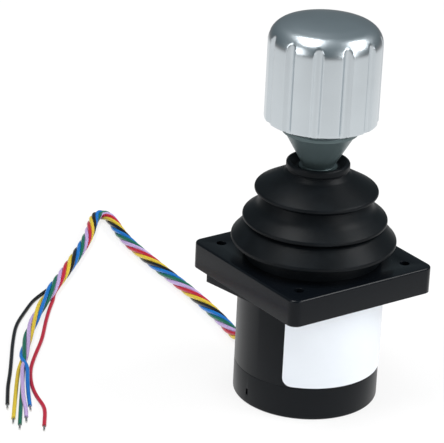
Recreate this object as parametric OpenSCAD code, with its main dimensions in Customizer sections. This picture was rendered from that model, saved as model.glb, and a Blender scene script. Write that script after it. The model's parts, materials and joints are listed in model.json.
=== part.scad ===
// Industrial joystick: two tilting axes on a gimbal, a twisting fluted knob, a rubber boot,
// a square panel flange and six lead wires. Origin under the middle of the base, +Z along the
// upright lever. The loose wires leave the base cap on the -X side. Millimetres and degrees.

/* [Body] */
// Outside radius of the round body
body_r = 24; // [23.5:0.5:26]
// Wall of the body and of the base cap
body_wall = 2.2; // [1.8:0.1:2.4]
// Height of the base cap, up to the seam
cap_h = 11.3; // [11:0.1:14]
// Height of the barrel, from the seam to the flange
barrel_h = 29; // [28.5:0.5:34]
// Thickness of the base cap's floor
cap_floor_t = 2.4; // [1.8:0.1:3]
// Rounding of the base cap's bottom edge
cap_edge_r = 0.9; // [0.3:0.1:1.6]
// Height of the spigot that locates the cap in the barrel
spigot_h = 2.5; // [2.2:0.1:3]
// Thickness of the spigot
spigot_t = 1.7; // [1.5:0.1:2]
// Height of the ledge on the cable side, below the flange
ledge_t = 3.4; // [2:0.1:5]
// Distance from the panel screw holes' centre to the ledge's side
ledge_past_hole = 5.9; // [5:0.1:6.6]
// Corner cut of the ledge
ledge_cut = 6.6; // [5:0.1:8]

/* [Label] */
// Angle where the blank label starts
label_from = -56; // [-70:1:-40]
// Angle that the blank label covers
label_sweep = 128; // [60:1:150]
// Thickness of the label
label_t = 0.15; // [0.1:0.05:0.3]
// Corner rounding of the label
label_corner = 3; // [1:0.5:5]
// Margin between the label and the seam
label_margin = 0.4; // [0.3:0.1:3]

/* [Flange] */
// Half width of the square flange
flange_half = 28.5; // [27.5:0.1:32]
// Thickness of the flange
flange_t = 9; // [8.5:0.1:11]
// Vertical corner rounding of the flange
flange_corner = 3.2; // [2:0.1:5]
// Rounding of the flange's top edge
flange_edge = 0.7; // [0.5:0.1:1.8]
// Distance from the centre to each panel screw hole, along X and along Y
hole_at = 21.5; // [21.3:0.1:22.5]
// Radius of the panel screw holes
hole_r = 1.65; // [1.3:0.05:1.8]
// Thickness of the web that closes the flange's underside
web_t = 3; // [2.6:0.1:3.4]

/* [Boot] */
// Outside radius of the boot's neck
neck_r = 22.5; // [22:0.1:22.8]
// Thickness of the rubber
boot_wall = 1.5; // [1.2:0.1:1.7]
// How far the bead stands out from the neck
bead_out = 1.6; // [1:0.1:2]
// Height of the bead
bead_h = 1.8; // [1.2:0.1:2.2]
// Rim radius of the lower, middle and upper fold
fold_r = [27.2, 23.8, 20.3];
// Rim height of each fold above the flange's top
fold_z = [5.9, 13.3, 23.1];
// Half height of the upright lip on each fold
fold_lip = 0.45; // [0.45:0.05:0.6]
// Radius of the groove above the lower and the middle fold, and below the collar
groove_r = [18.8, 15.2, 9.5];
// Radius of the boot's collar
boot_collar_r = 10.6; // [10.2:0.1:11.5]
// Height of the boot's collar
boot_collar_h = 2.7; // [2.2:0.1:3.4]

/* [Gimbal] */
// Tilt each way on each axis, in degrees
tilt = 18; // [12:1:19]
// Wall of the gimbal ring
ring_wall = 2.6; // [2.2:0.1:2.8]
// Height of the gimbal ring
ring_h = 7; // [6:0.1:7.4]
// Radius of the four gimbal pins
pin_r = 1.5; // [1:0.1:1.6]
// Wall of the carrier that holds the gimbal
carrier_wall = 2.1; // [1.8:0.1:2.3]
// Thickness of the carrier's flange
carrier_flange_t = 2.4; // [2:0.1:3]
// Thickness of the gate plate that stops the lever
gate_t = 2; // [1.5:0.1:2.5]

/* [Lever] */
// Outside radius of the hollow shaft
shaft_r = 4; // [3.6:0.1:4.2]
// Bore radius of the hollow shaft
shaft_bore_r = 2; // [1.5:0.1:2.2]
// Side clearance between the pivot block and the gimbal ring
block_gap = 1.5; // [1.4:0.1:2]
// Height of the pivot block
block_h = 9; // [7:0.1:9]
// Height of the cone under the knob, with its rim
cone_h = 13.6; // [10:0.1:16]
// Radius at the cone's foot
cone_foot_r = 5.2; // [4.9:0.1:5.6]
// Radius of the hub that the boot grips
hub_r = 6.3; // [6:0.1:6.6]
// Radius at the cone's top
cone_top_r = 12.1; // [11.8:0.1:12.6]
// Height of the cone's rim
cone_rim_h = 1.5; // [1:0.1:2]
// Radius of the cone's rim
cone_rim_r = 12.7; // [12.5:0.1:12.9]
// Radius of the magnet holder
holder_r = 5.6; // [5.2:0.1:6]
// Length of the magnet holder
holder_h = 6; // [5.5:0.1:7]

/* [Springs] */
// Free height of the centring spring as fitted
spring_h = 21.5; // [16:0.5:23]
// Space between the centring spring's foot and the seat's rim
spring_to_rim = 1.8; // [1.2:0.1:2]
// Coil radius of the centring spring at its top
spring_top_r = 6.6; // [6:0.1:7]
// Wire radius of the centring spring
spring_wire_r = 0.7; // [0.5:0.05:0.8]
// Turns of the centring spring
spring_turns = 6; // [5:1:7]
// Coil radius of the twist spring
twist_coil_r = 6.6; // [6.4:0.1:7.2]
// Wire radius of the twist spring
twist_wire_r = 0.6; // [0.4:0.05:0.7]
// Turns of the twist spring
twist_turns = 5; // [4:1:6]

/* [Knob] */
// Largest radius of the knob
knob_r = 18.8; // [18.2:0.1:21]
// Height of the knob
knob_h = 36.6; // [34.5:0.1:42]
// Radius of the knob's underside edge
knob_foot_r = 13; // [12.8:0.1:14]
// Height of the bevel under the knob
knob_bevel_h = 1.8; // [1.2:0.1:3]
// Rounding of the knob's shoulder
knob_shoulder_r = 8; // [4:0.1:9]
// Radius of the knob's crown
knob_crown_r = 52; // [40:1:120]
// Number of flutes
flutes = 12; // [6:1:16]
// Width of each flute
flute_w = 4.6; // [3:0.1:5.5]
// Depth of each flute
flute_d = 1.05; // [0.6:0.05:1.4]
// Angle of the first flute
flute_phase = 16; // [0:1:30]
// Bore radius of the knob
knob_bore_r = 12; // [11.8:0.1:12.2]
// Twist of the knob each way, in degrees
twist = 30; // [10:1:40]

/* [Hidden] */

$fn = 72;
arc_n = 7;                 // points on each rounded profile corner
eps = 0.01;                // overshoot of a cut past the face it opens

// Clearances
fit_gap = 0.02;            // radial, between pieces pressed or screwed together
run_gap = 0.03;            // radial, in a pin's or the shaft's running bore
slip_gap = 0.15;           // between pieces that only locate each other
air_gap = 0.6;             // left free around what swings
stop_gap = 0.3;            // left between a stop and what it stops, at the limit

// Heights of the fixed stack
body_h = cap_h + barrel_h;
web_top = body_h + web_t;
flange_top = body_h + flange_t;
body_ir = body_r - body_wall;

// Screws that hold the flange, the carrier and the cap to the barrel
boss_r = 2.6;
screw_r = 1.2;
screw_head_r = 2.25;
screw_head_h = 1.5;
screw_grip = 9;            // thread in the boss
socket_r = 0.8;
boss_from_wall = 0.6;
screw_at = body_ir - boss_from_wall - boss_r;
boss_angles = [45, 135, 225, 315];
boss_foot = cap_h + spigot_h + 0.2;
boss_head = body_h - carrier_flange_t;

// Gimbal: it fills the room between the bosses, and its sweep sets the pivot's depth
both_tilt = acos(cos(tilt) * cos(tilt));
boss_gap = 0.8;            // between the carrier and the screw bosses
carrier_or = screw_at - boss_r - boss_gap;
carrier_ir = carrier_or - carrier_wall;
ring_or = sqrt(pow(carrier_ir - air_gap / 2, 2) - pow(ring_h / 2, 2));
ring_ir = ring_or - ring_wall;
block_r = ring_ir - block_gap;
ring_rise = ring_h / 2 * cos(tilt) + ring_or * sin(tilt);
pivot_z = web_top - ring_rise - air_gap;
gate_top = pivot_z - ring_rise - air_gap;
gate_bottom = gate_top - gate_t;
gate_depth = pivot_z - gate_bottom;
gate_half = gate_depth * tan(tilt) + shaft_r / cos(tilt) + stop_gap;
gate_screw_r = 0.7;
gate_head_h = 0.9;
pin_boss_r = pin_r + 1.7;
pin_out = carrier_or + 1.6;
pin_to_shaft = 1;
pin_grip = block_r - shaft_r - pin_to_shaft;   // how far a block pin reaches into the block
bush_wall = 0.8;

// Lever below the pivot, and the sensor board under it
holder_top = pivot_z - (gate_depth + gate_head_h + stop_gap + holder_r * sin(both_tilt)) / cos(both_tilt);
holder_foot = holder_top - holder_h;
magnet_r = 4;
magnet_h = 2;
magnet_roof = 0.5;         // floor between the magnet and the leads' pocket
lead_room = 1.4;           // height of the pocket where the leads turn out of the shaft
shaft_foot = holder_foot + magnet_h + magnet_roof + lead_room;
lead_r = 0.6;
leads_r = 1.1;
sensor_h = 1.2;
sensor_w = 3;
sensor_at = 5;
sensor_top = pivot_z - norm([holder_r, pivot_z - holder_foot]) - air_gap;
board_t = 1.6;
board_top = sensor_top - sensor_h;
board_foot = board_top - board_t;
board_r = screw_at - boss_r - stop_gap;
post_r = 2;
post_at = board_r - 2.6;
post_angles = [0, 120, 240];
board_screw_r = 0.9;
board_head_r = 1.7;
board_head_h = 1;
board_screw_l = 5;
header = [3.4, 13, 4];     // connector under the board, where the six wires land
header_x = -12.4;

// Cable exit
cable_z = 6.4;
cap_ir = body_ir - slip_gap - spigot_t;
ledge_half = hole_at + ledge_past_hole;
grommet_neck_r = 3;
grommet_flange_r = 3.7;
grommet_flange_t = 1.9;
grommet_bore_r = 2.5;
bundle_r = 2.1;
wire_r = 0.7;
strand_r = 0.4;
strand_l = 5;

// Boot heights
neck_bead_z = web_top + 2;
retainer_wall = 1.5;
retainer_rise = 1;         // above the bead
collar_z = flange_top + fold_z[2] + 7.2;
boot_top = collar_z + boot_collar_h;
cup_r = hub_r + 0.9;
cup_depth = 2.0;
lip_z = collar_z - 1.9;    // lowest part of the boot's grip on the lever

// Lever above the boot
hub_foot = lip_z - 1.4;
cone_foot_z = boot_top - cup_depth + 0.3;
cone_top = cone_foot_z + cone_h;
grub_r = 1.5;
grub_z = hub_foot + grub_r + 0.4;
grub_angle = 142;
washer_t = 1.4;
washer_r = spring_top_r + spring_wire_r + 0.8;
clip_t = 0.8;
clip_groove = 0.4;
clip_out = 1.8;
seat_t = 1;
seat_rim = 1;
seat_or = carrier_or - 0.1;
spring_foot_r = seat_or - seat_rim - spring_to_rim - spring_wire_r;
seat_top = web_top + seat_t;
seat_ir = (seat_top - pivot_z) * tan(both_tilt) + shaft_r / cos(both_tilt) + air_gap;
washer_z = seat_top + spring_h;

// Knob and what is inside it
thrust_t = 0.3;
thrust_r = 7.5;
knob_z = cone_top + thrust_t;
knob_top = knob_z + knob_h;
hub_or = knob_bore_r - fit_gap;
hub_floor = 4;
hub_wall = 2.2;
hub_h = 24.6;
hub_cavity_r = hub_or - hub_wall;
bush_r = shaft_r + 2;
sleeve_r = shaft_r + 1.3;
sleeve_gap = 0.3;
plate_t = 3.5;
plate_at = 17.8;           // from the knob's foot to the upper bearing plate
plate_z = knob_z + plate_at;
circlip_z = plate_z + plate_t + 0.2;
shaft_in_knob = 25;
shaft_top = knob_z + shaft_in_knob;
twist_board_r = 8.6;
twist_board_t = 1.2;
twist_sensor = [3, 3, 1.1];
cavity_top = shaft_top + twist_board_t + twist_sensor[2] + 1.0;
twist_magnet_r = 3;
twist_magnet_h = 2.5;
stop_pin_r = 1;
stop_at = 8.9;
stop_pin_in = 4;           // depth of the stop pin in the cone
stop_pin_out = 3;          // its reach into the knob's slot
stop_slot_r = stop_pin_r + 0.15;

// ---------- shared geometry ----------

function unit(v) = v / norm(v);

// Points of a polygon's outline with corner i rounded to radius radii[i]
function rounded(pts, radii) = [for (i = [0:len(pts) - 1])
    let (n = len(pts), p = pts[i], r = radii[i],
        u = unit(pts[(i + n - 1) % n] - p), v = unit(pts[(i + 1) % n] - p),
        half = acos(max(-1, min(1, u * v))) / 2)
    for (k = [0:(r > 0 && half < 89.5 ? arc_n : 0)])
        r > 0 && half < 89.5
            ? let (c = p + unit(u + v) * r / sin(half), a = p + u * r / tan(half) - c,
                   turn = (180 - 2 * half) * sign(cross(a, v - u)) * k / arc_n)
              c + [a[0] * cos(turn) - a[1] * sin(turn), a[0] * sin(turn) + a[1] * cos(turn)]
            : p];

module tube(ro, ri, h) {
    difference() {
        cylinder(r = ro, h = h);
        translate([0, 0, -eps]) cylinder(r = ri, h = h + 2 * eps);
    }
}

module at_angles(list, radius) {
    for (a = list) rotate([0, 0, a]) translate([radius, 0, 0]) children();
}

module at_holes() {
    for (x = [-1, 1], y = [-1, 1]) translate([x * hole_at, y * hole_at, 0]) children();
}

module along_x(x0, x1, r) {
    translate([x0, 0, 0]) rotate([0, 90, 0]) cylinder(r = r, h = x1 - x0);
}

// Square slab with rounded upright corners and a rounded top edge
module slab(half, h, corner, edge) {
    module section(w) {
        translate([-w, 0]) square([2 * w, h - edge]);
        translate([-(w - edge), 0]) square([2 * (w - edge), h]);
        for (s = [-1, 1]) translate([s * (w - edge), h - edge]) circle(r = edge);
    }
    inner = half - corner;
    for (turn = [0, 90]) rotate([0, 0, turn])
        translate([0, inner, 0]) rotate([90, 0, 0]) linear_extrude(2 * inner) section(half);
    for (x = [-1, 1], y = [-1, 1]) translate([x * inner, y * inner, 0])
        rotate_extrude() intersection() {
            section(corner);
            square([corner, h]);
        }
}

// Ring positions and wire frames for tubes that follow a route
function spline(p, m) = concat([for (i = [0:len(p) - 2], k = [0:m - 1])
    let (t = k / m, a = p[max(i - 1, 0)], b = p[i], c = p[i + 1], d = p[min(i + 2, len(p) - 1)])
    b + (c - a) * t / 2 + (2 * a - 5 * b + 4 * c - d) * t * t / 2
        + (3 * b - a - 3 * c + d) * t * t * t / 2], [p[len(p) - 1]]);
function heading(p, i) = unit(p[min(i + 1, len(p) - 1)] - p[max(i - 1, 0)]);
function ring(p, i, r, sides, up) = let (t = heading(p, i), s = unit(cross(t, up)), n = cross(s, t))
    [for (k = [0:sides - 1]) p[i] + r * (cos(360 * k / sides) * s + sin(360 * k / sides) * n)];

module sweep(p, r, sides, up = [0, 0, 1]) {
    rings = len(p);
    polyhedron(
        points = [for (i = [0:rings - 1]) each ring(p, i, r, sides, up)],
        faces = concat(
            [[for (k = [0:sides - 1]) k]],
            [[for (k = [sides - 1:-1:0]) (rings - 1) * sides + k]],
            [for (i = [0:rings - 2], k = [0:sides - 1])
                let (a = i * sides + k, b = i * sides + (k + 1) % sides)
                [a, a + sides, b + sides, b]]));
}

// Points of a coil from radius r0 to r1, with half a flat turn at each end
function coil(r0, r1, z0, h, turns, steps) = let (n = turns * steps) [for (k = [0:n])
    let (f = k / n, lift = max(0, min(1, (f * turns - 0.5) / (turns - 1))),
        r = r0 + (r1 - r0) * f)
    [r * cos(360 * k / steps), r * sin(360 * k / steps), z0 + h * lift]];

// ---------- fixed pieces ----------

module ledge_outline() {
    reach = norm([ledge_half, ledge_half - ledge_cut]);
    tangent = atan2(ledge_half, -(ledge_half - ledge_cut)) - acos(body_r / reach);
    touch = body_r * [cos(tangent), sin(tangent)];
    polygon([touch, [-(ledge_half - ledge_cut), ledge_half], [-ledge_half, ledge_half - ledge_cut],
        [-ledge_half, -(ledge_half - ledge_cut)], [-(ledge_half - ledge_cut), -ledge_half],
        [touch[0], -touch[1]]]);
}

module housing() {
    color("dimgray") difference() {
        union() {
            translate([0, 0, cap_h]) cylinder(r = body_r, h = barrel_h);
            translate([0, 0, body_h - ledge_t]) linear_extrude(ledge_t) ledge_outline();
        }
        difference() {
            translate([0, 0, cap_h - eps]) cylinder(r = body_ir, h = barrel_h + 2 * eps);
            translate([0, 0, boss_foot]) intersection() {
                cylinder(r = body_ir + body_wall / 2, h = boss_head - boss_foot);
                at_angles(boss_angles, screw_at) {
                    cylinder(r = boss_r, h = boss_head - boss_foot);
                    translate([0, -boss_r, 0])
                        cube([boss_from_wall + boss_r + body_wall, 2 * boss_r, boss_head - boss_foot]);
                }
            }
        }
        at_angles(boss_angles, screw_at) {
            translate([0, 0, boss_foot - eps]) cylinder(r = screw_r + fit_gap, h = screw_grip + 1);
            translate([0, 0, boss_head - screw_grip - 1]) cylinder(r = screw_r + fit_gap, h = screw_grip + 2);
        }
        translate([0, 0, body_h - ledge_t - eps]) at_holes() cylinder(r = hole_r, h = ledge_t + 2 * eps);
    }
}

module base_cap() {
    spigot_r = body_ir - slip_gap;
    profile = rounded(
        [[0, 0], [body_r, 0], [body_r, cap_h], [spigot_r, cap_h], [spigot_r, cap_h + spigot_h],
         [cap_ir, cap_h + spigot_h], [cap_ir, cap_floor_t], [0, cap_floor_t]],
        [0, cap_edge_r, 0.25, 0, 0.3, 0.3, 0, 0]);
    color("gray") difference() {
        union() {
            rotate_extrude() polygon(profile);
            at_angles(boss_angles, screw_at) cylinder(r = boss_r, h = boss_foot);
            at_angles(post_angles, post_at) cylinder(r = post_r, h = board_foot);
        }
        translate([0, 0, cap_h + spigot_h / 2]) seal_groove();
        at_angles(boss_angles, screw_at) {
            translate([0, 0, -eps]) cylinder(r = screw_head_r + slip_gap, h = screw_head_h + 1 + 2 * eps);
            translate([0, 0, -eps]) cylinder(r = screw_r + slip_gap, h = boss_foot + 2 * eps);
        }
        translate([0, 0, board_foot - board_screw_l - 0.5])
            at_angles(post_angles, post_at) cylinder(r = board_screw_r + fit_gap, h = board_screw_l + 1);
        translate([0, 0, cable_z]) along_x(-body_r - 1, -cap_ir + 1, grommet_neck_r + fit_gap);
        // gate mark of the moulding, on the -Y side
        translate([-0.5, -body_r - eps, cap_h * 0.3]) cube([1, 0.6, 2.2]);
    }
}

seal_r = 0.55;             // the ring stands proud of the spigot by less than the slip gap
seal_mid = body_ir - fit_gap - seal_r;

module seal_groove() {
    rotate_extrude() translate([seal_mid - seal_r - fit_gap, -seal_r - fit_gap])
        square([3 * seal_r, 2 * (seal_r + fit_gap)]);
}

module base_seal() {
    color("black") translate([0, 0, cap_h + spigot_h / 2])
        rotate_extrude() translate([seal_mid, 0]) circle(r = seal_r);
}

// A pan-head screw with its head's underside at z = 0 and its point at -length
module screw(length, r = screw_r, head_r = screw_head_r, head_h = screw_head_h, hex_r = socket_r) {
    difference() {
        union() {
            cylinder(r = head_r, h = head_h);
            translate([0, 0, -length]) cylinder(r = r, h = length + eps);
        }
        translate([0, 0, head_h / 2]) cylinder(r = hex_r, h = head_h, $fn = 6);
    }
}

module base_screws() {
    color("silver") at_angles(boss_angles, screw_at)
        translate([0, 0, screw_head_h + 1]) rotate([180, 0, 0])
            screw(boss_foot - screw_head_h - 1 + screw_grip);
}

module bezel_screws() {
    color("silver") translate([0, 0, web_top - screw_head_h - 0.2]) at_angles(boss_angles, screw_at)
        screw(web_t - screw_head_h - 0.2 + carrier_flange_t + screw_grip);
}

module label() {
    foot = cap_h + label_margin;
    top = body_h - label_margin;
    edge = body_r + fit_gap;
    color("white") rotate([0, 0, label_from]) difference() {
        rotate_extrude(angle = label_sweep) translate([edge, foot]) square([label_t, top - foot]);
        for (side = [0, 1], end = [0, 1])
            rotate([0, 0, side * label_sweep]) mirror([0, side, 0])
                translate([edge - 1, 0, end ? top : foot]) mirror([0, 0, end])
                    rotate([90, 0, 90]) linear_extrude(label_t + 2) difference() {
                        translate([-1, -1]) square(label_corner + 1);
                        translate([label_corner, label_corner]) circle(r = label_corner - fit_gap);
                    }
    }
}

module cable_grommet() {
    color("black") translate([0, 0, cable_z]) difference() {
        union() {
            along_x(-body_r - grommet_flange_t, -cap_ir + grommet_flange_t, grommet_neck_r);
            difference() {
                along_x(-body_r - grommet_flange_t, -cap_ir + grommet_flange_t, grommet_flange_r);
                translate([0, 0, -2 * grommet_flange_r])
                    tube(body_r + fit_gap, cap_ir - fit_gap, 4 * grommet_flange_r);
            }
        }
        along_x(-2 * body_r, 0, grommet_bore_r);
    }
}

module sensor_board() {
    color("green") translate([0, 0, board_foot]) difference() {
        cylinder(r = board_r, h = board_t);
        translate([0, 0, -eps]) at_angles(post_angles, post_at)
            cylinder(r = board_screw_r + slip_gap, h = board_t + 2 * eps);
    }
}

module hall_sensors() {
    color("black") translate([0, 0, board_top + sensor_h / 2]) at_angles([0, 90, 180, 270], sensor_at)
        cube([sensor_w, sensor_w + 1, sensor_h], center = true);
}

module board_screws() {
    color("silver") translate([0, 0, board_top]) at_angles(post_angles, post_at)
        screw(board_t + board_screw_l, board_screw_r, board_head_r, board_head_h, socket_r / 2);
}

module wire_header() {
    color("ivory") difference() {
        translate([header_x, -header[1] / 2, board_foot - header[2]]) cube(header);
        translate([header_x - eps, -header[1] / 2 + 1, board_foot - header[2] - eps])
            cube([header[0] / 3, header[1] - 2, header[2] / 2]);
    }
}

module bezel() {
    bore_r = neck_r + 0.1;
    color("darkslategray") translate([0, 0, body_h]) difference() {
        slab(flange_half, flange_t, flange_corner, flange_edge);
        translate([0, 0, web_t]) cylinder(r = bore_r, h = flange_t);
        translate([0, 0, neck_bead_z - body_h - slip_gap])
            cylinder(r = neck_r + bead_out + slip_gap, h = bead_h + 2 * slip_gap);
        translate([0, 0, -eps]) cylinder(r = carrier_or + stop_gap, h = flange_t);
        translate([0, 0, -eps]) at_holes() cylinder(r = hole_r, h = flange_t + 2 * eps);
        at_angles(boss_angles, screw_at) {
            translate([0, 0, -eps]) cylinder(r = screw_r + slip_gap, h = web_t + 2 * eps);
            translate([0, 0, web_t - screw_head_h - 0.2])
                cylinder(r = screw_head_r + slip_gap, h = screw_head_h + 1);
        }
    }
}

// ---------- boot ----------

// Outline of the boot's outside (t = 0) or inside (t = wall), from the neck to the upper lip
function boot_side(t) = let (z = [for (f = fold_z) flange_top + f], in = 2.4 * t) [
    [neck_r - t, z[0] - 2 + t],
    [fold_r[0] - in, z[0] - fold_lip + t], [fold_r[0] - in, z[0] + fold_lip + t / 2],
    [groove_r[0] + 3.6 - t, z[1] - 1.7 - t / 2],
    [groove_r[0] - t, z[1] - 1.1 - t / 2], [groove_r[0] - t, z[1] - 0.7 + t / 2],
    [fold_r[1] - in, z[1] - fold_lip + t], [fold_r[1] - in, z[1] + fold_lip + t / 2],
    [groove_r[1] + 4.2 - t, z[1] + 3.6 - t / 2], [groove_r[1] + 2 - t, z[2] - 2 - t / 2],
    [groove_r[1] - t, z[2] - 1.2 - t / 2], [groove_r[1] - t, z[2] - 0.7 + t / 2],
    [fold_r[2] - in, z[2] - fold_lip + t], [fold_r[2] - in, z[2] + fold_lip + t / 2]];
function boot_radii(t) = let (lip = max(0.04, 0.4 - t)) [0.6, lip, 2 * lip, 3, 0.15, 0.15, lip,
    2 * lip, 6, 1.5, 0.15, 0.15, lip, 2 * lip];

module boot() {
    outer = boot_side(0);
    inner = boot_side(boot_wall);
    n = len(outer);
    pts = concat(
        [[neck_r, web_top], [neck_r, neck_bead_z], [neck_r + bead_out, neck_bead_z],
         [neck_r + bead_out, neck_bead_z + bead_h], [neck_r, neck_bead_z + bead_h]],
        outer,
        [[groove_r[2], collar_z - 1.2], [groove_r[2], collar_z], [boot_collar_r, collar_z],
         [boot_collar_r, boot_top], [boot_collar_r - 1.1, boot_top], [cup_r, boot_top - cup_depth],
         [hub_r + 0.05, boot_top - cup_depth], [hub_r + 0.05, lip_z]],
        [for (k = [n - 1:-1:0]) inner[k]],
        [[neck_r - boot_wall, web_top]]);
    radii = concat([0, 0, 0.2, 0.2, 0], boot_radii(0),
        [0.3, 0, 0.9, 0.7, 0.4, 0.3, 0, 0], [for (k = [n - 1:-1:0]) boot_radii(boot_wall)[k]], [0]);
    color("black") rotate_extrude() polygon(rounded(pts, radii));
}

module boot_retainer() {
    retainer_or = neck_r - boot_wall - slip_gap;
    color("dimgray") translate([0, 0, web_top])
        tube(retainer_or, retainer_or - retainer_wall, neck_bead_z + bead_h + retainer_rise - web_top);
}

// ---------- gimbal ----------

module gimbal_carrier() {
    wall_foot = gate_top;
    color("slategray") difference() {
        union() {
            translate([0, 0, wall_foot]) cylinder(r = carrier_or, h = web_top - wall_foot);
            translate([0, 0, body_h - carrier_flange_t])
                cylinder(r = body_ir - slip_gap, h = carrier_flange_t);
            for (s = [0, 180]) rotate([0, 0, s]) translate([0, 0, pivot_z])
                along_x(carrier_ir, pin_out, pin_boss_r);
        }
        translate([0, 0, wall_foot - eps]) cylinder(r = carrier_ir, h = web_top - wall_foot + 2 * eps);
        translate([0, 0, pivot_z]) along_x(-pin_out - 1, pin_out + 1, pin_r + fit_gap);
        translate([0, 0, body_h - carrier_flange_t - eps]) at_angles(boss_angles, screw_at)
            cylinder(r = screw_r + slip_gap, h = carrier_flange_t + 2 * eps);
        translate([0, 0, wall_foot - eps]) at_angles(boss_angles, carrier_ir + carrier_wall / 2)
            cylinder(r = gate_screw_r + fit_gap, h = 4.5);
    }
}

module carrier_pins() {
    color("silver") for (s = [0, 180]) rotate([0, 0, s]) translate([0, 0, pivot_z])
        along_x(ring_ir + 0.1, pin_out, pin_r);
}

module gate_plate() {
    color("lightsteelblue") translate([0, 0, gate_bottom]) difference() {
        cylinder(r = carrier_or, h = gate_t);
        // square gate: both axes reach their limit together
        translate([0, 0, -eps]) linear_extrude(gate_t + 2 * eps)
            polygon(rounded([for (p = [[1, 1], [-1, 1], [-1, -1], [1, -1]]) gate_half * p],
                [for (i = [0:3]) shaft_r * 0.8]));
        translate([0, 0, -eps]) at_angles(boss_angles, carrier_ir + carrier_wall / 2)
            cylinder(r = gate_screw_r + 0.1, h = gate_t + 2 * eps);
    }
}

module gate_screws() {
    color("silver") translate([0, 0, gate_bottom]) at_angles(boss_angles, carrier_ir + carrier_wall / 2)
        rotate([180, 0, 0]) screw(gate_t + 4, gate_screw_r, gate_screw_r + 0.5, gate_head_h, 0.35);
}

module spring_seat() {
    color("lightgray") translate([0, 0, web_top]) {
        tube(seat_or, seat_ir, seat_t);
        translate([0, 0, seat_t - eps]) tube(seat_or, seat_or - seat_rim, 1.6);
    }
}

module gimbal_ring() {
    color("goldenrod") translate([0, 0, pivot_z]) difference() {
        translate([0, 0, -ring_h / 2]) tube(ring_or, ring_ir, ring_h);
        along_x(-ring_or - 1, ring_or + 1, pin_r + run_gap + bush_wall + fit_gap);
        rotate([0, 0, 90]) along_x(-ring_or - 1, ring_or + 1, pin_r + fit_gap);
    }
}

module ring_bushes() {
    color("peru") for (s = [0, 180]) rotate([0, 0, s]) translate([0, 0, pivot_z])
        difference() {
            intersection() {
                along_x(0, ring_or + 1, pin_r + run_gap + bush_wall);
                translate([0, 0, -ring_h / 2]) tube(ring_or, ring_ir, ring_h);
            }
            along_x(0, ring_or + 1, pin_r + run_gap);
        }
}

module block_pins() {
    color("silver") for (s = [90, 270]) rotate([0, 0, s]) translate([0, 0, pivot_z])
        along_x(block_r - pin_grip, ring_or - 0.1, pin_r);
}

// ---------- lever ----------

module shaft() {
    groove_r0 = shaft_r - clip_groove;
    color("silver") difference() {
        translate([0, 0, shaft_foot]) tube(shaft_r, shaft_bore_r, shaft_top - shaft_foot);
        for (z = [washer_z + washer_t, circlip_z]) translate([0, 0, z])
            tube(shaft_r + 1, groove_r0, clip_t);
    }
}

module pivot_block() {
    color("lightslategray") translate([0, 0, pivot_z]) difference() {
        translate([0, 0, -block_h / 2]) tube(block_r, shaft_r + fit_gap, block_h);
        for (s = [90, 270]) rotate([0, 0, s])
            along_x(block_r - pin_grip - 0.2, block_r + 1, pin_r + run_gap);
    }
}

module centring_spring() {
    color("gainsboro") sweep(coil(spring_foot_r, spring_top_r, seat_top + spring_wire_r + 0.02,
        spring_h - 2 * spring_wire_r - 0.04, spring_turns, 14), spring_wire_r, 6);
}

module spring_washer() {
    color("lightgray") translate([0, 0, washer_z]) tube(washer_r, shaft_r + fit_gap, washer_t);
}

// A snap ring in the shaft's groove, open towards -Y
module snap_ring(z) {
    translate([0, 0, z + 0.05]) difference() {
        tube(shaft_r + clip_out, shaft_r - clip_groove + fit_gap, clip_t - 0.1);
        translate([-shaft_r * 0.4, -shaft_r - clip_out - 1, -1])
            cube([shaft_r * 0.8, shaft_r, clip_t + 2]);
    }
}

module spring_clip() { color("black") snap_ring(washer_z + washer_t); }

module magnet_holder() {
    color("whitesmoke") translate([0, 0, holder_foot]) difference() {
        cylinder(r = holder_r, h = holder_h);
        translate([0, 0, -eps]) cylinder(r = magnet_r + fit_gap, h = magnet_h + eps);
        translate([0, 0, shaft_foot - holder_foot])
            cylinder(r = shaft_r + fit_gap, h = holder_h);
        translate([0, 0, magnet_h + magnet_roof]) cylinder(r = shaft_bore_r, h = lead_room + eps);
        translate([0, 0, magnet_h + magnet_roof + lead_room / 2]) rotate([0, 0, -90])
            along_x(0, holder_r + 1, lead_room / 2 - fit_gap);
    }
}

module position_magnet() {
    color("dimgray") translate([0, 0, holder_foot]) cylinder(r = magnet_r, h = magnet_h);
}

module lever_cone() {
    pts = [[shaft_r + fit_gap, hub_foot], [hub_r, hub_foot], [hub_r, cone_foot_z],
        [cone_foot_r, cone_foot_z], [cone_top_r, cone_top - cone_rim_h],
        [cone_rim_r, cone_top - cone_rim_h], [cone_rim_r, cone_top], [shaft_r + fit_gap, cone_top]];
    color("darkslategray") difference() {
        rotate_extrude() polygon(rounded(pts, [0, 0.3, 0, 0.2, 0.2, 0.3, 0.3, 0]));
        translate([0, 0, grub_z]) rotate([0, 0, grub_angle]) along_x(0, hub_r + 1, grub_r + fit_gap);
        translate([stop_at, 0, cone_top - stop_pin_in])
            cylinder(r = stop_pin_r + fit_gap, h = stop_pin_in + 1);
    }
}

module cone_grub_screw() {
    color("black") translate([0, 0, grub_z]) rotate([0, 0, grub_angle]) difference() {
        along_x(shaft_r + 0.05, hub_r - 0.1, grub_r);
        translate([hub_r - 1, 0, 0]) rotate([0, 90, 0]) cylinder(r = grub_r / 2, h = 2, $fn = 6);
    }
}

module stop_pin() {
    color("silver") translate([stop_at, 0, cone_top - stop_pin_in])
        cylinder(r = stop_pin_r, h = stop_pin_in + stop_pin_out);
}

module thrust_washer() {
    color("ivory") translate([0, 0, cone_top]) tube(thrust_r, shaft_r + fit_gap, thrust_t);
}

module spring_sleeve() {
    foot = knob_z + hub_floor + sleeve_gap;
    color("ivory") translate([0, 0, foot]) tube(sleeve_r, shaft_r + fit_gap, plate_z - sleeve_gap - foot);
}

module knob_circlip() { color("black") snap_ring(circlip_z); }

module twist_board() {
    color("green") translate([0, 0, shaft_top]) cylinder(r = twist_board_r, h = twist_board_t);
}

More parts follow.
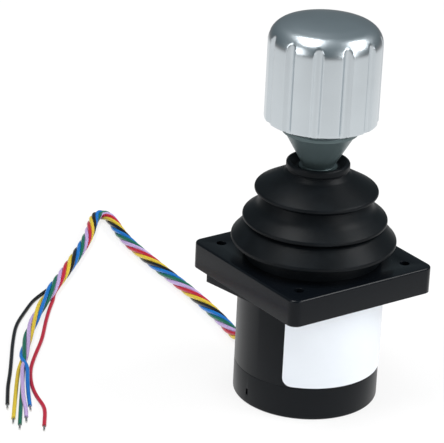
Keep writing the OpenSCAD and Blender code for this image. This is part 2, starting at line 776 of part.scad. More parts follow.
module twist_sensor() {
    color("black") translate([-twist_sensor[0] / 2, -twist_sensor[1] / 2, shaft_top + twist_board_t])
        cube(twist_sensor);
}

module shaft_leads() {
    color("firebrick") translate([0, 0, shaft_foot]) cylinder(r = leads_r, h = shaft_top - shaft_foot);
}

// Slack lead from the magnet holder's side to the board, so that the lever can swing
module flex_lead() {
    z0 = shaft_foot - lead_room / 2;
    route = [[0, -holder_r + 0.5, z0], [0, -holder_r - 2.4, z0 - 0.1], [0, -holder_r - 4.6, z0 - 1.4],
        [0, -holder_r - 5.2, board_top + 1.5], [0, -holder_r - 5.2, board_top + 0.1]];
    color("firebrick") sweep(spline(route, 3), lead_r, 8, [1, 0, 0]);
}

// ---------- knob ----------

function crown(edge_r) = let (a = asin(edge_r / knob_crown_r)) [for (k = [0:6])
    let (b = a * (1 - k / 6)) [knob_crown_r * sin(b), knob_top - knob_crown_r * (1 - cos(b))]];

module knob_shell() {
    side_top = knob_top - knob_crown_r * (1 - cos(asin(knob_r / knob_crown_r)));
    cap_pts = crown(knob_r - knob_shoulder_r);
    outer = concat([[knob_foot_r, knob_z], [knob_r - 0.4, knob_z + knob_bevel_h], [knob_r, side_top]],
        cap_pts, [[0, knob_z]]);
    radii = concat([0.4, 0.8, knob_shoulder_r - 0.5], [for (p = cap_pts) 0], [0]);
    flute_r = (flute_w * flute_w / 4 + flute_d * flute_d) / (2 * flute_d);
    color("lightgray") difference() {
        rotate_extrude() polygon(rounded(outer, radii));
        translate([0, 0, knob_z - eps]) cylinder(r = knob_bore_r, h = cavity_top - knob_z + eps);
        translate([0, 0, cavity_top - 1]) cylinder(r = twist_magnet_r + fit_gap, h = twist_magnet_h + 1.1);
        for (k = [0:flutes - 1]) rotate([0, 0, flute_phase + 360 * k / flutes])
            translate([knob_r - flute_d + flute_r, 0, knob_z - 1])
                cylinder(r = flute_r, h = knob_h + 2);
    }
}

module knob_hub() {
    color("dimgray") translate([0, 0, knob_z]) difference() {
        cylinder(r = hub_or, h = hub_h);
        translate([0, 0, hub_floor]) cylinder(r = hub_cavity_r, h = hub_h);
        translate([0, 0, -eps]) cylinder(r = bush_r + fit_gap, h = hub_floor + 1);
        // slot for the stop pin
        translate([0, 0, -eps]) rotate([0, 0, -twist]) rotate_extrude(angle = 2 * twist)
            translate([stop_at - stop_slot_r, 0]) square([2 * stop_slot_r, hub_floor + 1]);
        for (a = [-twist, twist]) rotate([0, 0, a]) translate([stop_at, 0, -eps])
            cylinder(r = stop_slot_r, h = hub_floor + 1);
    }
}

module bearing_plate() {
    color("slategray") translate([0, 0, plate_z])
        tube(hub_cavity_r - fit_gap, bush_r + fit_gap, plate_t);
}

module knob_bushes() {
    color("peru") {
        translate([0, 0, knob_z]) tube(bush_r, shaft_r + run_gap, hub_floor);
        translate([0, 0, plate_z]) tube(bush_r, shaft_r + run_gap, plate_t);
    }
}

module twist_spring() {
    foot = knob_z + hub_floor + twist_wire_r + 0.05;
    color("gainsboro") sweep(coil(twist_coil_r, twist_coil_r, foot,
        plate_z - twist_wire_r - 0.05 - foot, twist_turns, 14), twist_wire_r, 6);
}

module twist_magnet() {
    color("dimgray") translate([0, 0, cavity_top]) cylinder(r = twist_magnet_r, h = twist_magnet_h);
}

// ---------- loose wires: round numbers along the route that they lie in ----------

bundle_route = [[-12.6, 0, 7.4], [-14.6, 0, 7.1], [-17, 0, 6.6], [-19.5, 0, 6.4], [-26.5, 0, 6.4], [-31, 0.2, 5.4],
    [-36, 0.5, 3.4], [-42, 1, 2.3], [-60, 5, 2.2], [-79, 7.6, 2.2], [-97, 9, 2.2], [-116, 11, 2.2],
    [-132, 13, 2.2], [-144, 16.5, 2.2], [-150.5, 18.5, 2.2], [-153, 15.5, 2.2], [-147, 11, 2.2],
    [-140, 5, 2.2], [-132, -3.5, 2.2], [-122, -14.5, 2.2], [-111.5, -26, 2.2], [-104, -35, 2.2]];
quad_route = [[-103.5, -35.6, 2.2], [-97.5, -42, 2.1], [-90, -49.5, 1.9], [-80, -58.6, 1.9],
    [-69.5, -66.8, 1.9], [-60, -73.8, 1.9]];
black_route = [[-105, -37, 0.8], [-103, -42.4, 0.8], [-95.7, -51, 0.8], [-87.5, -59.5, 0.8],
    [-76.5, -67.6, 0.8], [-66.2, -74.4, 0.8], [-57, -80.5, 0.8], [-48.6, -86.4, 0.8], [-38, -93, 0.8]];
red_route = [[-101.9, -34.5, 0.8], [-95.5, -40.5, 0.8], [-86.4, -48, 0.8], [-74, -57.5, 0.8],
    [-64.5, -66, 0.8], [-56, -73, 0.8], [-46.4, -78.6, 0.8], [-37.4, -82, 0.8], [-29.5, -84, 0.8],
    [-19, -90.6, 0.8]];
yellow_route = [[-60, -75.2, 0.8], [-50, -82.1, 0.8], [-39.1, -89.4, 0.8], [-28.3, -96.6, 0.8]];
green_route = [[-59.1, -73.9, 0.8], [-48.1, -81.1, 0.8], [-36.2, -88.9, 0.8], [-23.8, -96.9, 0.8]];
lilac_route = [[-59.4, -74.3, 2.4], [-48.8, -80.7, 2.4], [-37.6, -87.2, 2.2], [-32, -89.6, 1.1],
    [-27.2, -92.4, 0.8]];
blue_route = [[-58.6, -72.6, 2.2], [-48, -79.2, 2.2], [-40.2, -83.6, 1.1], [-33.4, -87.2, 0.8]];

module loose(route, r, steps, shade) { color(shade) sweep(spline(route, steps), r, 8); }

module wire_bundle() { loose(bundle_route, bundle_r, 1, "purple"); }
module wire_quad() { loose(quad_route, wire_r * 2.3, 1, "orchid"); }
module wire_black() { loose(black_route, wire_r, 1, "black"); }
module wire_red() { loose(red_route, wire_r, 1, "crimson"); }
module wire_yellow() { loose(yellow_route, wire_r, 1, "gold"); }
module wire_green() { loose(green_route, wire_r, 1, "seagreen"); }
module wire_lilac() { loose(lilac_route, wire_r, 1, "plum"); }
module wire_blue() { loose(blue_route, wire_r, 1, "dodgerblue"); }

// Bare strands at the stripped ends
module wire_tips() {
    color("silver") for (route = [black_route, red_route, yellow_route, green_route, lilac_route, blue_route]) {
        last = len(route) - 1;
        way = heading(route, last);
        sweep([route[last], route[last] + way * strand_l], strand_r, 8);
    }
}

housing();
base_cap();
base_screws();
base_seal();
label();
cable_grommet();
sensor_board();
hall_sensors();
board_screws();
wire_header();
bezel();
bezel_screws();
boot();
boot_retainer();
gimbal_carrier();
carrier_pins();
gate_plate();
gate_screws();
spring_seat();
gimbal_ring();
ring_bushes();
block_pins();
shaft();
pivot_block();
centring_spring();
spring_washer();
spring_clip();
magnet_holder();
position_magnet();
lever_cone();
cone_grub_screw();
stop_pin();
thrust_washer();
spring_sleeve();
knob_circlip();
twist_board();
twist_sensor();
shaft_leads();
flex_lead();
knob_shell();
knob_hub();
knob_bushes();
bearing_plate();
twist_spring();
twist_magnet();
wire_bundle();
wire_quad();
wire_black();
wire_red();
wire_yellow();
wire_green();
wire_lilac();
wire_blue();
wire_tips();
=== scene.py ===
"""Industrial joystick: turned, moulded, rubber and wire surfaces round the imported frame.

Every length is in metres in the frame's own axes: the origin is under the middle of the base,
+Z runs up the upright lever, and the lead wires leave on the -X side. Each sub-assembly is a
class that holds its sizes as fields, takes its place from the frame, and builds and dresses
its own pieces.
"""

from __future__ import annotations

import json
import logging
import math
from dataclasses import dataclass, field
from enum import Enum
from typing import Any, Sequence

import bmesh
import bpy
import numpy as np
from mathutils import Matrix, Vector


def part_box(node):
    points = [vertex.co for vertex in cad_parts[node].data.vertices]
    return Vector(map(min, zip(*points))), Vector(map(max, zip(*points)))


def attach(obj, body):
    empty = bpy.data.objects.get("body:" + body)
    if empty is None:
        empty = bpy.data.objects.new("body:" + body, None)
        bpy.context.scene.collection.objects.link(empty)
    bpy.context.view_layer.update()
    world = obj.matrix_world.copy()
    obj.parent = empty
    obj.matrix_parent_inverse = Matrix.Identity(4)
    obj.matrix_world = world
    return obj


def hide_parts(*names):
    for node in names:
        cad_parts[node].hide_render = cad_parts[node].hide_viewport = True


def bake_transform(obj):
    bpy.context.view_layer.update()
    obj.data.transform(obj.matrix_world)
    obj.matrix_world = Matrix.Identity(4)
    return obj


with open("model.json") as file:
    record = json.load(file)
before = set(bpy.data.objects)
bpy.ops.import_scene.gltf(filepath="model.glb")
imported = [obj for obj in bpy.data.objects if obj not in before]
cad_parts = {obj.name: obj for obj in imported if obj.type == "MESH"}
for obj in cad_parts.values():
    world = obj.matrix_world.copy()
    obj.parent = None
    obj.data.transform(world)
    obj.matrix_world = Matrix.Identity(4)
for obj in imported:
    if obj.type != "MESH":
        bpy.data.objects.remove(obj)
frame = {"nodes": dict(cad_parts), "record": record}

LOG = logging.getLogger("joystick")
MM = 0.001
TURN = 2 * math.pi
SPLINE_STEPS = 24
Point2 = tuple[float, float]
Point3 = tuple[float, float, float]
Color = tuple[float, float, float]


# ---------------------------------------------------------------- node trees


class Value:
    """A node's output socket whose operators add Math nodes to its tree."""

    def __init__(self, kit: NodeKit, socket: Any) -> None:
        self.kit = kit
        self.socket = socket

    def _math(self, operation: str, *terms: Any) -> Value:
        """Adds one Math node.

        Args:
            operation: The Math node's operation.
            terms: The node's inputs, in order.

        Returns:
            The node's result.
        """
        return self.kit.node(
            "ShaderNodeMath", {"operation": operation}, dict(enumerate(terms))
        )

    def __add__(self, other: Any) -> Value:
        """Sum."""
        return self._math("ADD", self, other)

    __radd__ = __add__

    def __sub__(self, other: Any) -> Value:
        """Difference."""
        return self._math("SUBTRACT", self, other)

    def __rsub__(self, other: Any) -> Value:
        """Difference from a number."""
        return self._math("SUBTRACT", other, self)

    def __mul__(self, other: Any) -> Value:
        """Product."""
        return self._math("MULTIPLY", self, other)

    __rmul__ = __mul__

    def __truediv__(self, other: Any) -> Value:
        """Quotient."""
        return self._math("DIVIDE", self, other)

    def __rtruediv__(self, other: Any) -> Value:
        """A number over this value."""
        return self._math("DIVIDE", other, self)

    def __mod__(self, other: Any) -> Value:
        """Floored remainder."""
        return self._math("FLOORED_MODULO", self, other)

    def root(self) -> Value:
        """Square root."""
        return self._math("SQRT", self)

    def size(self) -> Value:
        """Absolute value."""
        return self._math("ABSOLUTE", self)

    def floor(self) -> Value:
        """Whole part, rounded down."""
        return self._math("FLOOR", self)

    def sine(self) -> Value:
        """Sine of this angle."""
        return self._math("SINE", self)

    def cosine(self) -> Value:
        """Cosine of this angle."""
        return self._math("COSINE", self)

    def at_least(self, other: Any) -> Value:
        """The larger of the two."""
        return self._math("MAXIMUM", self, other)

    def soft_min(self, other: Any, reach: Any) -> Value:
        """The smaller of the two, with the change rounded over a reach."""
        return self._math("SMOOTH_MIN", self, other, reach)

    def ease(self, low: float, high: float) -> Value:
        """A smooth step.

        Args:
            low: Up to here the step is 0.
            high: From here on it is 1.

        Returns:
            The step.
        """
        return self.kit.node(
            "ShaderNodeMapRange",
            {"interpolation_type": "SMOOTHSTEP"},
            {"Value": self, "From Min": low, "From Max": high},
        )


class NodeKit:
    """Adds nodes to one tree, with one method for every kind of node."""

    def __init__(self, tree: bpy.types.NodeTree) -> None:
        """Keeps the tree."""
        self.tree = tree

    def node(
        self,
        kind: str,
        settings: dict[str, Any] | None = None,
        values: dict[int | str, Any] | None = None,
        output: int | str = 0,
    ) -> Value:
        """Adds a node of any kind.

        Args:
            kind: The node's type.
            settings: Its settings, set before its sockets.
            values: A number, a colour or another node's Value for each of its inputs.
            output: Which of its outputs to return.

        Returns:
            The chosen output, or an empty Value for a node that has none.
        """
        made = self.tree.nodes.new(kind)
        for name, setting in (settings or {}).items():
            setattr(made, name, setting)
        for key, value in (values or {}).items():
            if isinstance(value, Value):
                self.tree.links.new(value.socket, made.inputs[key])
            else:
                made.inputs[key].default_value = value
        return Value(self, made.outputs[output] if len(made.outputs) else None)

    def split(self, vector: Value) -> tuple[Value, Value, Value]:
        """The three parts of a vector."""
        parts = self.node("ShaderNodeSeparateXYZ", None, {0: vector}).socket.node
        return tuple(Value(self, parts.outputs[k]) for k in range(3))

    def join(self, x: Any, y: Any, z: Any) -> Value:
        """A vector from its three parts."""
        return self.node("ShaderNodeCombineXYZ", None, {0: x, 1: y, 2: z})

    def vector(self, operation: str, terms: dict[int | str, Any]) -> Value:
        """The vector that one Vector Math node gives for its inputs."""
        return self.node("ShaderNodeVectorMath", {"operation": operation}, terms)


class ShaderKit(NodeKit):
    """The nodes that the finishes share, on Object coordinates.

    Attributes:
        blots: How many blots of the noise lie in one of its cells.
    """

    blots: float = 0.5

    def place(self) -> Value:
        """Object coordinates, in metres."""
        return self.node("ShaderNodeTexCoord", output="Object")

    def rays(self) -> tuple[Value, Value]:
        """1 for what the camera sees itself, and 1 for what a glossy surface mirrors."""
        path = self.node("ShaderNodeLightPath").socket.node
        return Value(self, path.outputs["Is Camera Ray"]), Value(self, path.outputs["Is Glossy Ray"])

    def noise(self, grain: float, detail: float = 2.0, at: Value | None = None) -> Value:
        """Smooth noise whose blots are about one grain across.

        Args:
            grain: The size of a blot, in metres.
            detail: How many finer layers are added.
            at: Where to read it, or Object coordinates.

        Returns:
            A value round 0.5.
        """
        where = at or self.place()
        sizes = {"Vector": where, "Scale": self.blots / grain, "Detail": detail}
        return self.node("ShaderNodeTexNoise", None, sizes)

    def blend(self, share: Value, first: Color, second: Color) -> Value:
        """A colour between two, by a share that varies over the surface."""
        ends = {0: share, 6: (*first, 1.0), 7: (*second, 1.0)}
        return self.node("ShaderNodeMix", {"data_type": "RGBA"}, ends, output=2)

    def bump(self, height: Value, depth: float) -> Value:
        """A surface normal from a height.

        Args:
            height: The height, from 0 to 1.
            depth: What a height of 1 is, in metres.

        Returns:
            The normal.
        """
        return self.node("ShaderNodeBump", None, {"Strength": 1.0, "Distance": depth, "Height": height})


# ---------------------------------------------------------------- finishes


def shade(color: Color, factor: float) -> Color:
    """A colour made lighter or darker."""
    return tuple(min(1.0, part * factor) for part in color)


@dataclass(frozen=True)
class Finish:
    """One material slot's look.

    Attributes:
        slot: The record's material slot.
        color: Base colour.
        roughness: Mean roughness.
    """

    slot: str
    color: Color
    roughness: float

    def material(self) -> bpy.types.Material:
        """The finish's material, built on first use.

        Returns:
            The material.
        """
        name = f"{self.slot}_finish"
        found = bpy.data.materials.get(name)
        if found:
            return found
        made = bpy.data.materials.new(name)
        made.use_nodes = True
        made.node_tree.nodes.clear()
        made.diffuse_color = (*self.color, 1.0)
        kit = ShaderKit(made.node_tree)
        surface = kit.node("ShaderNodeBsdfPrincipled", None, self.sockets(kit))
        kit.node("ShaderNodeOutputMaterial", None, {"Surface": surface})
        return made

    def sockets(self, kit: ShaderKit) -> dict[str, Any]:
        """What feeds the Principled shader's sockets."""
        raise NotImplementedError

    def dress(self, piece: bpy.types.Object) -> bpy.types.Object:
        """Puts the finish on a piece, in place of what it has.

        Args:
            piece: The piece.

        Returns:
            The same piece.
        """
        piece.data.materials.clear()
        piece.data.materials.append(self.material())
        return piece


class Lay(Enum):
    """The way in which a metal's fine marks run."""

    TURNED = "turned"
    BLASTED = "blasted"
    CAST = "cast"


@dataclass(frozen=True)
class MetalFinish(Finish):
    """Bare or plated metal.

    Attributes:
        lay: The way in which its marks run.
        grain: Spacing of the marks.
        depth: Height of the marks.
        spread: How much the roughness varies.
        metallic: 1 for bare metal, less under a clear or painted coat.
    """

    lay: Lay = Lay.BLASTED
    grain: float = 0.15 * MM
    depth: float = 0.004 * MM
    spread: float = 0.08
    metallic: float = 1.0

    def sockets(self, kit: ShaderKit) -> dict[str, Any]:
        """Marks in the normal, and drifting colour and roughness.

        Args:
            kit: The material's nodes.

        Returns:
            A number or a Value for each socket.
        """
        if self.lay is Lay.TURNED:
            x, y, z = kit.split(kit.place())
            around = kit.join((x * x + y * y).root(), x * 0.02, z)
            marks = kit.noise(self.grain, 3.0, around)
        elif self.lay is Lay.CAST:
            marks = kit.noise(self.grain * 3, 4.0)
        else:
            marks = kit.noise(self.grain, 1.0)
        drift = kit.noise(6 * MM, 3.0)
        return {
            "Base Color": kit.blend(drift, shade(self.color, 0.93), shade(self.color, 1.07)),
            "Roughness": self.roughness + (drift - 0.5) * self.spread,
            "Metallic": self.metallic,
            "Normal": kit.bump(marks, self.depth),
        }


@dataclass(frozen=True)
class PlasticFinish(Finish):
    """Moulded plastic with a spark-eroded skin.

    Attributes:
        grain: Spacing of the skin's texture.
        depth: Height of the skin's texture.
        mottle: How much the colour drifts.
        specular: Specular level of the moulded skin.
    """

    grain: float = 0.22 * MM
    depth: float = 0.006 * MM
    mottle: float = 0.12
    specular: float = 0.5

    def sockets(self, kit: ShaderKit) -> dict[str, Any]:
        """Fine texture in the normal, and a slow drift of colour and gloss.

        Args:
            kit: The material's nodes.

        Returns:
            A number or a Value for each socket.
        """
        skin = kit.noise(self.grain, 2.0)
        flow = kit.noise(9 * MM, 3.0)
        return {
            "Base Color": kit.blend(
                flow, shade(self.color, 1 - self.mottle), shade(self.color, 1 + self.mottle)
            ),
            "Roughness": self.roughness + (flow - 0.5) * 0.1 + (skin - 0.5) * 0.06,
            "Specular IOR Level": self.specular,
            "Normal": kit.bump(skin, self.depth),
        }


@dataclass(frozen=True)
class RubberFinish(Finish):
    """Moulded rubber with a faint bloom.

    Attributes:
        bloom: How much paler the bloom makes it.
    """

    bloom: float = 1.5

    def sockets(self, kit: ShaderKit) -> dict[str, Any]:
        """Pores in the normal, and a bloom in blots over the colour.

        Args:
            kit: The material's nodes.

        Returns:
            A number or a Value for each socket.
        """
        pores = kit.noise(0.16 * MM, 2.0)
        cloud = kit.noise(4 * MM, 4.0)
        bloom = cloud.ease(0.42, 0.72)
        return {
            "Base Color": kit.blend(bloom, self.color, shade(self.color, self.bloom)),
            "Roughness": self.roughness + bloom * 0.06 + (pores - 0.5) * 0.06,
            "Specular IOR Level": 0.12,
            "Normal": kit.bump(pores, 0.003 * MM),
        }


@dataclass(frozen=True)
class InsulationFinish(Finish):
    """Extruded insulation of a lead wire."""

    def sockets(self, kit: ShaderKit) -> dict[str, Any]:
        """Faint drag marks, and slight changes of colour along the wire.

        Args:
            kit: The material's nodes.

        Returns:
            A number or a Value for each socket.
        """
        drag = kit.noise(0.5 * MM, 2.0)
        along = kit.noise(12 * MM, 2.0)
        return {
            "Base Color": kit.blend(along, shade(self.color, 0.9), shade(self.color, 1.1)),
            "Roughness": self.roughness + (drag - 0.5) * 0.1,
            "Normal": kit.bump(drag, 0.006 * MM),
            "Coat Weight": 0.15,
        }


@dataclass(frozen=True)
class LabelFinish(Finish):
    """Blank printed-film label, slightly wavy where it follows the wall."""

    def sockets(self, kit: ShaderKit) -> dict[str, Any]:
        """Film lift in the normal and a very slight tint.

        Args:
            kit: The material's nodes.

        Returns:
            A number or a Value for each socket.
        """
        lift = kit.noise(5 * MM, 2.0)
        tooth = kit.noise(0.2 * MM, 1.0)
        return {
            "Base Color": kit.blend(lift, shade(self.color, 0.97), shade(self.color, 1.02)),
            "Roughness": self.roughness + (tooth - 0.5) * 0.08,
            "Normal": kit.bump(lift, 0.01 * MM),
        }


@dataclass(frozen=True)
class BoardFinish(Finish):
    """Circuit board under its solder mask, with the copper's tracks just showing."""

    def sockets(self, kit: ShaderKit) -> dict[str, Any]:
        """Stepped tracks in the colour and the normal.

        Args:
            kit: The material's nodes.

        Returns:
            A number or a Value for each socket.
        """
        x, y, _ = kit.split(kit.place())
        bend = kit.noise(3 * MM, 1.0) * 4
        tracks = ((x + y) * (TURN / (1.6 * MM)) + bend).sine().ease(0.35, 0.55)
        return {
            "Base Color": kit.blend(tracks, self.color, shade(self.color, 1.7)),
            "Roughness": self.roughness + tracks * 0.05,
            "Normal": kit.bump(tracks, 0.02 * MM),
        }


FINISHES: dict[str, Finish] = {
    f.slot: f
    for f in (
        MetalFinish(
            "knob_alloy", (0.62, 0.67, 0.70), 0.29, grain=0.9 * MM, depth=0.0015 * MM, spread=0.03
        ),
        MetalFinish("cone_alloy", (0.09, 0.125, 0.13), 0.38, metallic=0.5, lay=Lay.TURNED),
        PlasticFinish("body_plastic", (0.0035, 0.0048, 0.0066), 0.34, depth=0.003 * MM, specular=0.15),
        PlasticFinish("flange_plastic", (0.003, 0.0042, 0.006), 0.24, depth=0.002 * MM, specular=0.16),
        RubberFinish("boot_rubber", (0.003, 0.0042, 0.0054), 0.42),
        RubberFinish("seal_rubber", (0.02, 0.02, 0.02), 0.6),
        LabelFinish("label_white", (0.74, 0.78, 0.83), 0.34),
        MetalFinish("zinc_steel", (0.62, 0.63, 0.65), 0.3),
        MetalFinish("spring_steel", (0.42, 0.43, 0.45), 0.28),
        MetalFinish("clip_steel", (0.06, 0.06, 0.065), 0.45, metallic=0.6),
        MetalFinish("cast_zinc", (0.5, 0.51, 0.53), 0.48, lay=Lay.CAST, depth=0.02 * MM),
        MetalFinish("ring_brass", (0.72, 0.52, 0.22), 0.3, lay=Lay.TURNED),
        MetalFinish("bush_bronze", (0.6, 0.38, 0.18), 0.45, lay=Lay.CAST),
        PlasticFinish("inner_plastic", (0.72, 0.70, 0.64), 0.4, mottle=0.04),
        BoardFinish("board_green", (0.015, 0.14, 0.05), 0.3),
        PlasticFinish("chip_black", (0.02, 0.02, 0.022), 0.5),
        MetalFinish("magnet_dark", (0.3, 0.3, 0.32), 0.25),
        InsulationFinish("wire_blue", (0.002, 0.14, 0.48), 0.34),
        InsulationFinish("wire_green", (0.004, 0.12, 0.075), 0.34),
        InsulationFinish("wire_lilac", (0.45, 0.33, 0.60), 0.34),
        InsulationFinish("wire_yellow", (0.62, 0.46, 0.03), 0.34),
        InsulationFinish("wire_black", (0.005, 0.005, 0.006), 0.32),
        InsulationFinish("wire_red", (0.42, 0.008, 0.03), 0.34),
        MetalFinish("strand_tin", (0.75, 0.74, 0.72), 0.28, lay=Lay.CAST),
    )
}


# ---------------------------------------------------------------- geometry


def unit(v: np.ndarray) -> np.ndarray:
    """A vector of length one."""
    return v / np.linalg.norm(v)


def rounded(corners: Sequence[Point2], radii: Sequence[float], steps: int = 8) -> list[Point2]:
    """A polygon's outline with each corner rounded.

    Args:
        corners: The corners, in order.
        radii: The radius at each corner.
        steps: Pieces that each rounding has.

    Returns:
        The points of the rounded outline.
    """
    out: list[Point2] = []
    n = len(corners)
    pts = [np.array(c, float) for c in corners]
    for i, (p, r) in enumerate(zip(pts, radii)):
        u, v = unit(pts[i - 1] - p), unit(pts[(i + 1) % n] - p)
        half = math.acos(max(-1.0, min(1.0, float(u @ v)))) / 2
        if r <= 0 or half > math.radians(89.5):
            out.append((float(p[0]), float(p[1])))
            continue
        centre = p + unit(u + v) * r / math.sin(half)
        a = p + u * r / math.tan(half) - centre
        w = v - u
        turn = (math.pi - 2 * half) * (1 if a[0] * w[1] - a[1] * w[0] > 0 else -1)
        for k in range(steps + 1):
            c, s = math.cos(turn * k / steps), math.sin(turn * k / steps)
            spot = centre[0] + a[0] * c - a[1] * s, centre[1] + a[0] * s + a[1] * c
            out.append((float(spot[0]), float(spot[1])))
    return out


def in_mm(points: Sequence[Point2]) -> list[Point2]:
    """Millimetre points as metres."""
    return [(r * MM, z * MM) for r, z in points]


class Tree:
    """Geometry node trees: made once, put on an object, and turned into a plain mesh."""

    def __init__(self, name: str, inputs: dict[str, tuple[str, Any]]) -> None:
        """Starts a tree.

        Args:
            name: The tree's name.
            inputs: Each named input's socket type and its value.
        """
        self.group = bpy.data.node_groups.new(name, "GeometryNodeTree")
        side = self.group.interface
        side.new_socket("Geometry", in_out="INPUT", socket_type="NodeSocketGeometry")
        for label, (kind, value) in inputs.items():
            made = side.new_socket(label, in_out="INPUT", socket_type=kind)
            if value is not None:
                made.default_value = value
        side.new_socket("Geometry", in_out="OUTPUT", socket_type="NodeSocketGeometry")
        self.kit = NodeKit(self.group)
        self.inlet = self.group.nodes.new("NodeGroupInput")

    def given(self, label: str) -> Value:
        """A named input's value inside the tree."""
        return Value(self.kit, self.inlet.outputs[label])

    def close(self, shape: Value) -> Tree:
        """Ends the tree: real geometry, shaded smooth, with the material that is given.

        Args:
            shape: The geometry.

        Returns:
            The tree.
        """
        node = self.kit.node
        real = node("GeometryNodeRealizeInstances", None, {0: shape})
        shaded = node("GeometryNodeSetShadeSmooth", None, {"Geometry": real, "Shade Smooth": True})
        painted = node(
            "GeometryNodeSetMaterial", None, {"Geometry": shaded, "Material": self.given("Material")}
        )
        node("NodeGroupOutput", None, {0: painted})
        return self

    def make(self, name: str, seed: bpy.types.Mesh, finish: Finish, **sizes: Any) -> bpy.types.Object:
        """Runs the tree on a mesh and keeps the result as a plain mesh.

        Args:
            name: The piece's name.
            seed: The mesh that goes in.
            finish: The piece's finish.
            sizes: Values for the named inputs, with spaces written as underscores.

        Returns:
            The piece, with its place in its mesh.
        """
        carrier = Shop.carrier(name, seed)
        modifier = carrier.modifiers.new("tree", "NODES")
        modifier.node_group = self.group
        keys = {
            item.name: item.identifier
            for item in self.group.interface.items_tree
            if item.item_type == "SOCKET" and item.in_out == "INPUT"
        }
        modifier[keys["Material"]] = finish.material()
        for label, value in sizes.items():
            modifier[keys[label.replace("_", " ")]] = value
        return Shop.place(name, Shop.bake(carrier), finish)


class Shop:
    """Turns point lists and CAD nodes into finished meshes.

    Attributes:
        weld: Distance within which a made mesh's points are one.
        cad_weld: The same for a CAD node's loose triangles.
        flat: Faces of a CAD node that meet within this many degrees become one.
        crisp: Edges of a rounded CAD node sharper than this many degrees stay crisp.
    """

    weld: float = 1e-7
    cad_weld: float = 1e-6
    flat: float = 0.5
    crisp: float = 50.0

    @staticmethod
    def bake(carrier: bpy.types.Object) -> bpy.types.Mesh:
        """Turns what an object's modifiers give into a plain mesh, and removes the object.

        Args:
            carrier: The object.

        Returns:
            The mesh.
        """
        graph = bpy.context.evaluated_depsgraph_get()
        mesh = bpy.data.meshes.new_from_object(carrier.evaluated_get(graph), depsgraph=graph)
        bpy.data.objects.remove(carrier)
        return mesh

    @staticmethod
    def carrier(name: str, mesh: bpy.types.Mesh) -> bpy.types.Object:
        """Adds a short-lived object that carries a mesh and its modifiers.

        Args:
            name: The name of the piece that comes of it.
            mesh: The mesh.

        Returns:
            The object.
        """
        made = bpy.data.objects.new(f"{name}_seed", mesh)
        bpy.context.scene.collection.objects.link(made)
        return made

    @staticmethod
    def place(name: str, mesh: bpy.types.Mesh, finish: Finish) -> bpy.types.Object:
        """Puts a mesh in the scene under a name and dresses it.

        Args:
            name: The piece's name.
            mesh: The mesh, with its place in it.
            finish: The piece's finish.

        Returns:
            The piece.
        """
        mesh.name = name
        piece = bpy.data.objects.new(name, mesh)
        bpy.context.scene.collection.objects.link(piece)
        finish.dress(piece)
        LOG.info("%s: %d faces", name, len(mesh.polygons))
        return piece

    @staticmethod
    def line(name: str, points: Sequence[Sequence[float]]) -> bpy.types.Mesh:
        """A mesh that is one open line.

        Args:
            name: The mesh's name.
            points: The line's points.

        Returns:
            The mesh.
        """
        mesh = bpy.data.meshes.new(name)
        edges = [(k, k + 1) for k in range(len(points) - 1)]
        mesh.from_pydata([tuple(float(c) for c in p) for p in points], edges, [])
        return mesh

    @staticmethod
    def sharpen(mesh: bpy.types.Mesh, angle: float, recalc: bool = True) -> None:
        """Merges doubles, turns faces outwards and keeps edges above an angle sharp.

        Args:
            mesh: The mesh, changed in place.
            angle: The angle in degrees.
            recalc: Whether the normals are worked out again.
        """
        bm = bmesh.new()
        bm.from_mesh(mesh)
        bmesh.ops.remove_doubles(bm, verts=bm.verts, dist=Shop.weld)
        if recalc:
            bmesh.ops.recalc_face_normals(bm, faces=bm.faces)
        limit = math.radians(angle)
        for edge in bm.edges:
            edge.smooth = len(edge.link_faces) == 2 and edge.calc_face_angle(0.0) < limit
        for face in bm.faces:
            face.smooth = True
        bm.to_mesh(mesh)
        bm.free()

    @classmethod
    def soften(
        cls, name: str, node: str, finish: Finish, width: float, angle: float = 35.0
    ) -> bpy.types.Object:
        """A copy of a CAD node with its edges rounded, which stands for the node.

        Args:
            name: The new piece's name.
            node: The CAD node.
            finish: The piece's finish.
            width: Width of the rounding.
            angle: Edges sharper than this many degrees are rounded.

        Returns:
            The piece.
        """
        mesh = frame["nodes"][node].data.copy()
        bm = bmesh.new()
        bm.from_mesh(mesh)
        bmesh.ops.remove_doubles(bm, verts=bm.verts, dist=cls.cad_weld)
        bmesh.ops.dissolve_limit(
            bm, angle_limit=math.radians(cls.flat), verts=bm.verts, edges=bm.edges
        )
        bm.to_mesh(mesh)
        bm.free()
        carrier = cls.carrier(name, mesh)
        bevel = carrier.modifiers.new("edges", "BEVEL")
        bevel.width, bevel.segments, bevel.limit_method = width, 3, "ANGLE"
        bevel.angle_limit = math.radians(angle)
        bevel.use_clamp_overlap = True
        made = cls.bake(carrier)
        cls.sharpen(made, cls.crisp, recalc=False)
        piece = cls.place(name, made, finish)
        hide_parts(node)
        return piece


